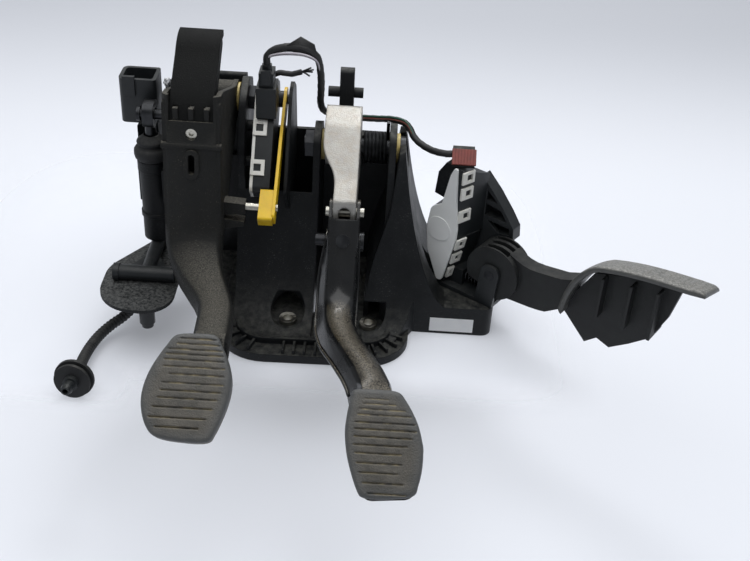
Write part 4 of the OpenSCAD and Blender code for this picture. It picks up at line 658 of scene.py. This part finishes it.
clutchPad = {
    "name": "clutchPadRubber", "node": "clutch_pad", "body": "clutch_pedal",
    "origin": (-78, -175, 96), "tilt": 41,
    "outline": [(-22, -1.2), (-8, 0.4), (5.5, -0.2), (11, -8), (17, -20.9), (19.9, -35), (17.8, -50.8),
                (11, -70), (5.4, -76.4), (-12, -77), (-29.8, -74.5), (-37.9, -66.8), (-42.5, -53),
                (-42.2, -38.8), (-37.4, -24.2), (-29, -9.5)],
    "grooves": [(-4, -19, 7, 0.8), (-8, -21, 10, 0.8), (-12, -27, 12, 0.8), (-15.6, -28, 13, 0.8),
                (-19.6, -29, 13.9, 0.8), (-24.6, -29, 14.6, 0.8), (-30, -24.6, 14.4, 0.8),
                (-36.2, -29, 14.6, 0.8), (-41.6, -29.6, 13.2, 1), (-47, -31, 11, 1), (-53.6, -34, 8.2, 1.1),
                (-60.8, -36, 4.6, 1.1), (-67.5, -31, 0, 1.2)]}
# both pads: rows run a hair inside the outline's ends, and columns crowd towards its sides
padShape = {"plate": 3.0, "thick": 7.0, "least": 1.2, "edge": 3.2, "crown": 0.9, "border": 13.0,
            "skirt": -0.6, "wear": 0.5, "wearMm": 14.0, "rows": 200, "rowRange": (0.0006, 0.9988),
            "columns": 72, "columnMix": (0.35, 0.65), "outlineSteps": 6, "grooveWidth": 1.25,
            "grooveDepth": 1.6, "grooveMargin": 1, "grooveEnds": 1.2, "grooveRound": 0.8, "grooveLip": 0.2,
            "ripple": (0.85, 0.15), "rippleScale": 0.4, "rippleRow": 3.0}


# depth of the grooves at a point, as a share of the full depth
def grooveAt(pad, shape, x, y):
    half = shape["grooveWidth"] / 2
    margin = shape["grooveMargin"]
    deepest = 0.0
    for middle, left, right, share in pad["grooves"]:
        off = abs(y - middle)
        if off < shape["grooveWidth"] and left - margin < x < right + margin:
            ends = min(1.0, max(0.0, min(x - left, right - x) / shape["grooveEnds"] + 0.5))
            wave = noise.noise(Vector((x * shape["rippleScale"], middle, shape["rippleRow"])))
            ripple = shape["ripple"][0] + shape["ripple"][1] * wave
            if off < half:
                cut = max(0.0, 1 - (off / half) ** 2 * shape["grooveRound"])
            else:
                cut = max(0.0, shape["grooveLip"] * (1 - (off - half) / half))
            deepest = max(deepest, cut * ends * share * ripple)
    return deepest


# a crowned rubber pad with rounded rim and cut grooves, on the steel or nylon plate
def makePad(pad, shape):
    outline = closedOutline(pad["outline"], shape["outlineSteps"])
    ys = [p.y for p in outline]
    top, low = max(ys), min(ys)
    bm = bmesh.new()
    grooveLayer = bm.verts.layers.float.new("groove")
    borderLayer = bm.verts.layers.float.new("border")
    place = Matrix.Translation(Vector(pad["origin"])) @ Matrix.Rotation(math.radians(pad["tilt"]), 4, "X")
    columns = shape["columns"]
    grid = []
    for i in range(shape["rows"] + 1):
        y = top + (low - top) * (shape["rowRange"][0] + shape["rowRange"][1] * i / shape["rows"])
        left, right = spanAt(outline, y)
        down = (y - (top + low) / 2) / (top - low) * 2
        row = []
        for j in range(columns + 1):
            crowded = 0.5 - 0.5 * math.cos(math.pi * j / columns)
            along = shape["columnMix"][0] * crowded + shape["columnMix"][1] * j / columns
            x = left + (right - left) * along
            d = edgeDistance(outline, Vector((x, y)))
            e = shape["edge"]
            rim = 0.0 if d >= e else e - math.sqrt(max(0.0, e * e - (e - d) ** 2))
            dome = shape["crown"] * (1 - down ** 2) * (1 - (2 * j / columns - 1) ** 2)
            groove = grooveAt(pad, shape, x, y)
            patch = Vector((x / shape["wearMm"], y / shape["wearMm"], pad["tilt"]))
            wear = shape["wear"] * noise.noise(patch)
            z = shape["plate"] + shape["thick"] - rim + dome + wear - groove * shape["grooveDepth"]
            z = max(z, shape["plate"] + shape["least"])
            vert = bm.verts.new((place @ Vector((x, y, z))) * mm)
            vert[grooveLayer] = groove
            vert[borderLayer] = max(0.0, 1 - d / shape["border"])
            row.append(vert)
        grid.append(row)
    for a, b in zip(grid, grid[1:]):
        for k in range(columns):
            bm.faces.new((a[k], b[k], b[k + 1], a[k + 1]))
    # skirt down to the plate and a flat back
    rimLoop = [row[0] for row in grid] + grid[-1][1:] + [row[-1] for row in grid[-2::-1]] + grid[0][-2:0:-1]
    out = place.inverted()
    back = []
    for vert in rimLoop:
        flat = out @ (vert.co / mm)
        back.append(bm.verts.new((place @ Vector((flat.x, flat.y, shape["skirt"]))) * mm))
    for k in range(len(rimLoop)):
        nextK = (k + 1) % len(rimLoop)
        bm.faces.new((rimLoop[k], rimLoop[nextK], back[nextK], back[k]))
    bm.faces.new(back)
    addPiece(pad["name"], bm, "mouldedPadRubber", pad["body"], [pad["node"]])


makePad(brakePad, padShape)
makePad(clutchPad, padShape)
print("rubber pads made")


# stop block inside the clutch arm, seen through its slot
slotStop = {"middle": (-110.0, -38.0, 167.0), "size": (12.0, 3.0, 26.0)}


def makeSlotStop(look):
    bm = bmesh.new()
    bmesh.ops.create_cube(bm, size=1.0)
    for vert in bm.verts:
        vert.co = Vector(look["middle"][k] + vert.co[k] * look["size"][k] for k in range(3)) * mm
    addPiece("slotStop", bm, "dullMouldedNylon", "clutch_pedal", smooth=False)


makeSlotStop(slotStop)


# moulded ledge and web on the bracket's left flank, behind the clutch arm
sideWeb = {"ledge": [(-84, 2), (-94, 2), (-101, 4), (-106, 10), (-109, 24), (-114, 58), (-114, 73),
                     (-84, 73)],
           "ledgeHeights": (0.5, 7.6),
           "web": [(-83, 6), (-113, 6), (-114, 50), (-115, 104), (-115, 110), (-83, 110)],
           "webDepths": (70.0, 73.4), "edge": 0.8, "edgeSteps": 2}


def makeSideWeb(look):
    bm = bmesh.new()
    addBlock(bm, *([(x, y, z) for x, y in look["ledge"]] for z in look["ledgeHeights"]))
    addBlock(bm, *([(x, y, z) for x, z in look["web"]] for y in look["webDepths"]))
    bmesh.ops.bevel(bm, geom=bm.edges[:], offset=look["edge"] * mm, segments=look["edgeSteps"],
                    affect="EDGES", profile=0.5)
    addPiece("sideWeb", bm, "mouldedBlackNylon", "bracket", smooth=False)


makeSideWeb(sideWeb)


# smears of grease by the clutch shaft, each an uneven blob
grease = {"spots": [("greaseLeft", "bracket", (-144.5, 42, 191), (3.2, 4.5, 5.0)),
                    ("greaseRight", "clutch_pedal", (-97.5, 41, 181), (3.0, 3.0, 6.5))],
          "fineness": 3, "swell": (0.75, 0.5), "lumps": 1.9}


def makeGrease(look):
    for name, body, spot, size in look["spots"]:
        bm = bmesh.new()
        bmesh.ops.create_icosphere(bm, subdivisions=look["fineness"], radius=1.0)
        for vert in bm.verts:
            lump = noise.noise(vert.co * look["lumps"] + Vector(spot))
            swell = look["swell"][0] + look["swell"][1] * lump
            vert.co = (Vector(spot) + Vector(vert.co[k] * swell * size[k] for k in range(3))) * mm
        addPiece(name, bm, "smearedWhiteGrease", body)


makeGrease(grease)
print("stop block, side web and grease made")


def bezierAt(points, t):
    a, b, c, d = (Vector(p) for p in points)
    s = 1 - t
    return s * s * s * a + 3 * s * s * t * b + 3 * s * t * t * c + t * t * t * d


def easeIn(t):
    t = max(0.0, min(1.0, t))
    return t * t * (3 - 2 * t)


# accelerator tread: a curved moulding with grip ribs across its upper end; lower and upper are its
# side view, and foot, tip, rollOver, lowEnd and topEnd are shares of its length
accelTread = {"lower": [(194, 52), (197, 74), (204, 93), (221, 103)],
              "upper": [(221, 103), (250, 113), (282, 114), (306, 117)],
              "turn": -35, "middle": 75, "halfWidth": 19.0, "thick": 5.0, "back": 0.2, "crown": 0.6,
              "roll": 18, "rollOver": 0.53, "rows": 96, "columns": 26,
              "foot": {"width": 0.72, "gain": 0.28, "over": 0.4},
              "tip": {"loss": 0.1, "start": 0.9, "over": 0.1},
              "endDrop": 2.2, "lowEnd": 0.03, "topEnd": (0.965, 0.035), "rimWidth": 2.6, "rimDrop": 1.8,
              "ribs": [256, 263, 270, 277, 284, 291, 298], "ribWidth": 2.6, "ribHeight": 0.9, "ribPower": 4,
              "ribInset": 3.5, "ribFade": 1.5}


# half width of the tread at a share of its length
def treadWidth(look, share):
    foot, tip = look["foot"], look["tip"]
    grown = foot["width"] + foot["gain"] * easeIn(share / foot["over"])
    return look["halfWidth"] * grown * (1 - tip["loss"] * easeIn((share - tip["start"]) / tip["over"]))


# how far the two ends of the tread round off
def treadDrop(look, share):
    start, over = look["topEnd"]
    top = max(0.0, (share - start) / over) ** 2
    low = max(0.0, (look["lowEnd"] - share) / look["lowEnd"]) ** 2
    return look["endDrop"] * top + look["endDrop"] * low


# height of the ribs at a place along the tread, from 0 to 1
def treadRib(look, along):
    half = look["ribWidth"] / 2
    return max([0.0] + [1 - ((along - r) / half) ** look["ribPower"] for r in look["ribs"]
                        if abs(along - r) < half])


def makeAccelTread(look):
    half = look["rows"] // 2
    line = [bezierAt(look["lower"], i / half) for i in range(half)]
    line += [bezierAt(look["upper"], i / half) for i in range(half + 1)]
    turn = Matrix.Rotation(math.radians(look["turn"]), 4, "Z")
    bm = bmesh.new()
    tops, backs = [], []
    last = len(line) - 1
    for i, p in enumerate(line):
        ahead = (line[min(i + 1, last)] - line[max(i - 1, 0)]).normalized()
        out = Vector((-ahead.y, ahead.x))
        share = i / last
        width = treadWidth(look, share)
        tilt = math.tan(math.radians(look["roll"])) * easeIn(share / look["rollOver"])
        endDrop = treadDrop(look, share)
        rib = treadRib(look, p.x)
        top, back = [], []
        for j in range(look["columns"] + 1):
            c = -width + 2 * width * j / look["columns"]
            edge = min(1.0, (width - abs(c)) / look["rimWidth"])
            rim = look["rimDrop"] * (1 - math.sqrt(max(0.0, 1 - (1 - edge) ** 2)))
            ribShare = min(1.0, max(0.0, (width - look["ribInset"] - abs(c)) / look["ribFade"]))
            ribHere = rib * look["ribHeight"] * ribShare
            height = look["thick"] - rim - endDrop + look["crown"] * (1 - (c / width) ** 2) + ribHere
            for h, row in ((height, top), (look["back"], back)):
                local = Vector((p.x + out.x * h, look["middle"] + c, p.y + out.y * h - c * tilt))
                row.append(bm.verts.new((turn @ local) * mm))
        tops.append(top)
        backs.append(back)
    for a, b, c, d in zip(tops, tops[1:], backs, backs[1:]):
        for k in range(look["columns"]):
            bm.faces.new((a[k], b[k], b[k + 1], a[k + 1]))
            bm.faces.new((c[k], c[k + 1], d[k + 1], d[k]))
        bm.faces.new((a[0], c[0], d[0], b[0]))
        bm.faces.new((a[-1], b[-1], d[-1], c[-1]))
    for t, b in ((tops[0], backs[0]), (tops[-1], backs[-1])):
        for k in range(look["columns"]):
            bm.faces.new((t[k], t[k + 1], b[k + 1], b[k]))
    addPiece("accelTread", bm, "shoeWornSheenNylon", "accelerator_pedal", ["accel_pad"])


makeAccelTread(accelTread)
print("accelerator tread made")


# rolled edges along the back of the brake arm's flanges: down the web, round the bend, out to the pad
armRim = {"webTop": (-52, 126), "knee": (-80, 82), "webSteps": (3, 12),
          "bend": [(-80, 82), (-90, 67), (-104, 70), (-126, 72)], "bendSteps": 16,
          "padAt": (-196, 82), "padSteps": 12, "padSag": 10, "padEase": 0.93,
          "middle": 11.0, "drift": 34.0, "driftFrom": -95, "driftOver": 120,
          "half": 12.5, "flare": 6.0, "flareFrom": -50, "flareOver": 30, "sideInset": 0.3,
          "depth": 16.0, "backInset": 1, "thick": 1.2, "sides": 10,
          "rims": ((-1, 1.0, "armRimLeft"), (1, 0.3, "armRimRight"))}


def makeArmRims(look):
    top, knee = Vector(look["webTop"]), Vector(look["knee"])
    first, count = look["webSteps"]
    path = [top.lerp(knee, k / count) for k in range(first, count)]
    path += [bezierAt(look["bend"], k / look["bendSteps"]) for k in range(look["bendSteps"] + 1)]
    end = path[-1]
    for k in range(1, look["padSteps"] + 1):
        t = k / look["padSteps"]
        y = end.x + (look["padAt"][0] - end.x) * t
        path.append(Vector((y, look["padAt"][1] - look["padSag"] * (1 - t * look["padEase"]) ** 2)))
    for side, share, name in look["rims"]:
        line = []
        for i, p in enumerate(path):
            ahead = (path[min(i + 1, len(path) - 1)] - path[max(i - 1, 0)]).normalized()
            back = Vector((-ahead.y, ahead.x))
            opened = look["flare"] * easeIn((look["flareFrom"] - p.x) / look["flareOver"]) * share
            middle = look["middle"] + look["drift"] * easeIn((look["driftFrom"] - p.x) / look["driftOver"])
            spot = p + back * (look["depth"] - look["backInset"])
            across = middle + side * (look["half"] + opened - look["sideInset"])
            line.append(Vector((across, spot.x, spot.y)))
        addPiece(name, tubeAlong(line, look["thick"], look["sides"]), "dippedBlackECoat", "brake_pedal")


makeArmRims(armRim)
print("arm rims made")


# rays that see the pale stage: straight from the camera, off gloss and through glass
def seenRays(tree):
    path = addNode(tree, "LightPath")
    rays = path.outputs["Is Camera Ray"]
    for other in ("Is Glossy Ray", "Is Transmission Ray"):
        rays = addNode(tree, "Math", links={0: rays, 1: path.outputs[other]}, operation="MAXIMUM")
    return rays


# floor: a wide pale sweep well below, and a thin pale sheet at the bulkhead face, gone under the pads.
# A fade is an axis, where the sheet is gone, where it is whole (metres), and how it joins those before:
# the two of the hose end, the front edge, then right, left and back
floorLook = {"colour": "#e8ebf2", "shadedFarColour": "#c9ccd3", "far": (0.35, 0.95), "low": -80.0, "reach": 40.0,
             "cells": 40, "lit": 0.55, "glow": 0.46, "rough": 0.9, "gloss": 0.1,
             "sheetLit": 0.77, "sheetGlow": 0.22, "sheetReach": 0.45, "sheetCells": 8, "sheetLow": -0.4,
             "fades": (("X", -0.145, -0.175, "MULTIPLY"), ("Y", -0.16, -0.125, "MULTIPLY"),
                       ("Y", -0.135, -0.085, "MAXIMUM"), ("X", 0.24, 0.14, "MULTIPLY"),
                       ("X", -0.42, -0.23, "MULTIPLY"), ("Y", 0.36, 0.11, "MULTIPLY"))}


def makeFloorMaterial(look):
    material, tree, shader = newMaterial("paleFloor")
    spot = addNode(tree, "SeparateXYZ", links={0: addNode(tree, "TexCoord").outputs["Object"]})
    # the floor is darker towards the back: painted shade of the light falling off
    far = addNode(tree, "MapRange", fromTo(look["far"]), {"Value": spot.outputs["Y"]},
                  interpolation_type="SMOOTHSTEP")
    colour = addNode(tree, "Mix", {6: linear(look["colour"]), 7: linear(look["shadedFarColour"])}, {0: far},
                     data_type="RGBA").outputs[2]
    share = addNode(tree, "VectorMath", {1: (look["lit"],) * 3}, {0: colour}, operation="MULTIPLY",
                    name="lit")
    # part of the paleness lights nothing, so the floor stays pale and the shadows on it light
    seen = addNode(tree, "Math", {1: look["glow"]}, {0: seenRays(tree)}, operation="MULTIPLY", name="glow")
    setNode(tree, shader, {"Roughness": look["rough"], "Specular IOR Level": look["gloss"]},
            {"Base Color": share, "Emission Color": colour, "Emission Strength": seen})
    return material


# the sheet the flange and the hose end lie on
def makeSheetMaterial(floorMaterial, look):
    material = floorMaterial.copy()
    material.name = "paleSheet"
    tree = material.node_tree
    tree.nodes["lit"].inputs[1].default_value = (look["sheetLit"],) * 3
    tree.nodes["glow"].inputs[1].default_value = look["sheetGlow"]
    spot = addNode(tree, "SeparateXYZ", links={0: addNode(tree, "TexCoord").outputs["Object"]})
    shown = None
    for axis, gone, whole, way in look["fades"]:
        fade = addNode(tree, "MapRange", fromTo((gone, whole)), {"Value": spot.outputs[axis]},
                       interpolation_type="SMOOTHSTEP")
        shown = addNode(tree, "Math", links={0: shown, 1: fade}, operation=way) if shown else fade
    setNode(tree, tree.nodes["Principled BSDF"], {}, {"Alpha": shown})
    return material


def addStage(name, material, cells, reach, low):
    bm = bmesh.new()
    bmesh.ops.create_grid(bm, x_segments=cells, y_segments=cells, size=reach)
    mesh = bpy.data.meshes.new(name)
    bm.to_mesh(mesh)
    bm.free()
    mesh.materials.append(material)
    ground = bpy.data.objects.new(name, mesh)
    ground.location.z = low * mm
    scene.collection.objects.link(ground)
    return ground


def makeFloor(look):
    material = makeFloorMaterial(look)
    addStage("floor", material, look["cells"], look["reach"], look["low"])
    sheetMaterial = makeSheetMaterial(material, look)
    sheet = addStage("floorSheet", sheetMaterial, look["sheetCells"], look["sheetReach"], look["sheetLow"])
    sheet.visible_shadow = False
    sheet.visible_diffuse = False
    sheet.visible_glossy = False
    sheet.visible_transmission = False


makeFloor(floorLook)


# light: a room that is pale overhead and dim in front, with a wide and a small soft box above and behind;
# a box is its name, watts, size and place in metres
lightLook = {"room": "#eef2f8", "overhead": 0.6, "level": 0.32, "rise": (-0.1, 0.8), "front": 0.4,
             "frontRange": (-0.8, 0.1), "seen": 0.38, "aim": (0.0, -0.05, 0.05),
             "boxes": [("wideBox", 23.0, (2.2, 1.8), (0.05, -0.12, 1.55)),
                       ("smallBox", 5.5, (0.5, 0.3), (-0.05, 0.82, 1.16))]}


def makeLight(look):
    world = bpy.data.worlds.new("room")
    scene.world = world
    world.use_nodes = True
    tree = world.node_tree
    background = tree.nodes["Background"]
    way = addNode(tree, "SeparateXYZ", links={0: addNode(tree, "TexCoord").outputs["Generated"]})
    height = addNode(tree, "MapRange", fromTo(look["rise"], (look["level"], look["overhead"])),
                     {"Value": way.outputs["Z"]})
    ahead = addNode(tree, "MapRange", fromTo(look["frontRange"], (look["front"], 1.0)),
                    {"Value": way.outputs["Y"]})
    level = addNode(tree, "Math", links={0: height, 1: ahead}, operation="MULTIPLY")
    # the camera and the reflections see a plain pale room
    seen = addNode(tree, "Mix", {3: look["seen"]}, {0: seenRays(tree), 2: level})
    setNode(tree, background, {"Color": linear(look["room"])}, {"Strength": seen})
    for name, watts, size, spot in look["boxes"]:
        lamp = bpy.data.lights.new(name, "AREA")
        lamp.shape = "RECTANGLE"
        lamp.size, lamp.size_y = size
        lamp.energy = watts
        box = bpy.data.objects.new(name, lamp)
        box.location = spot
        box.rotation_euler = (Vector(look["aim"]) - Vector(spot)).to_track_quat("-Z", "Y").to_euler()
        scene.collection.objects.link(box)


makeLight(lightLook)
print("stage and light made")

bpy.context.view_layer.update()
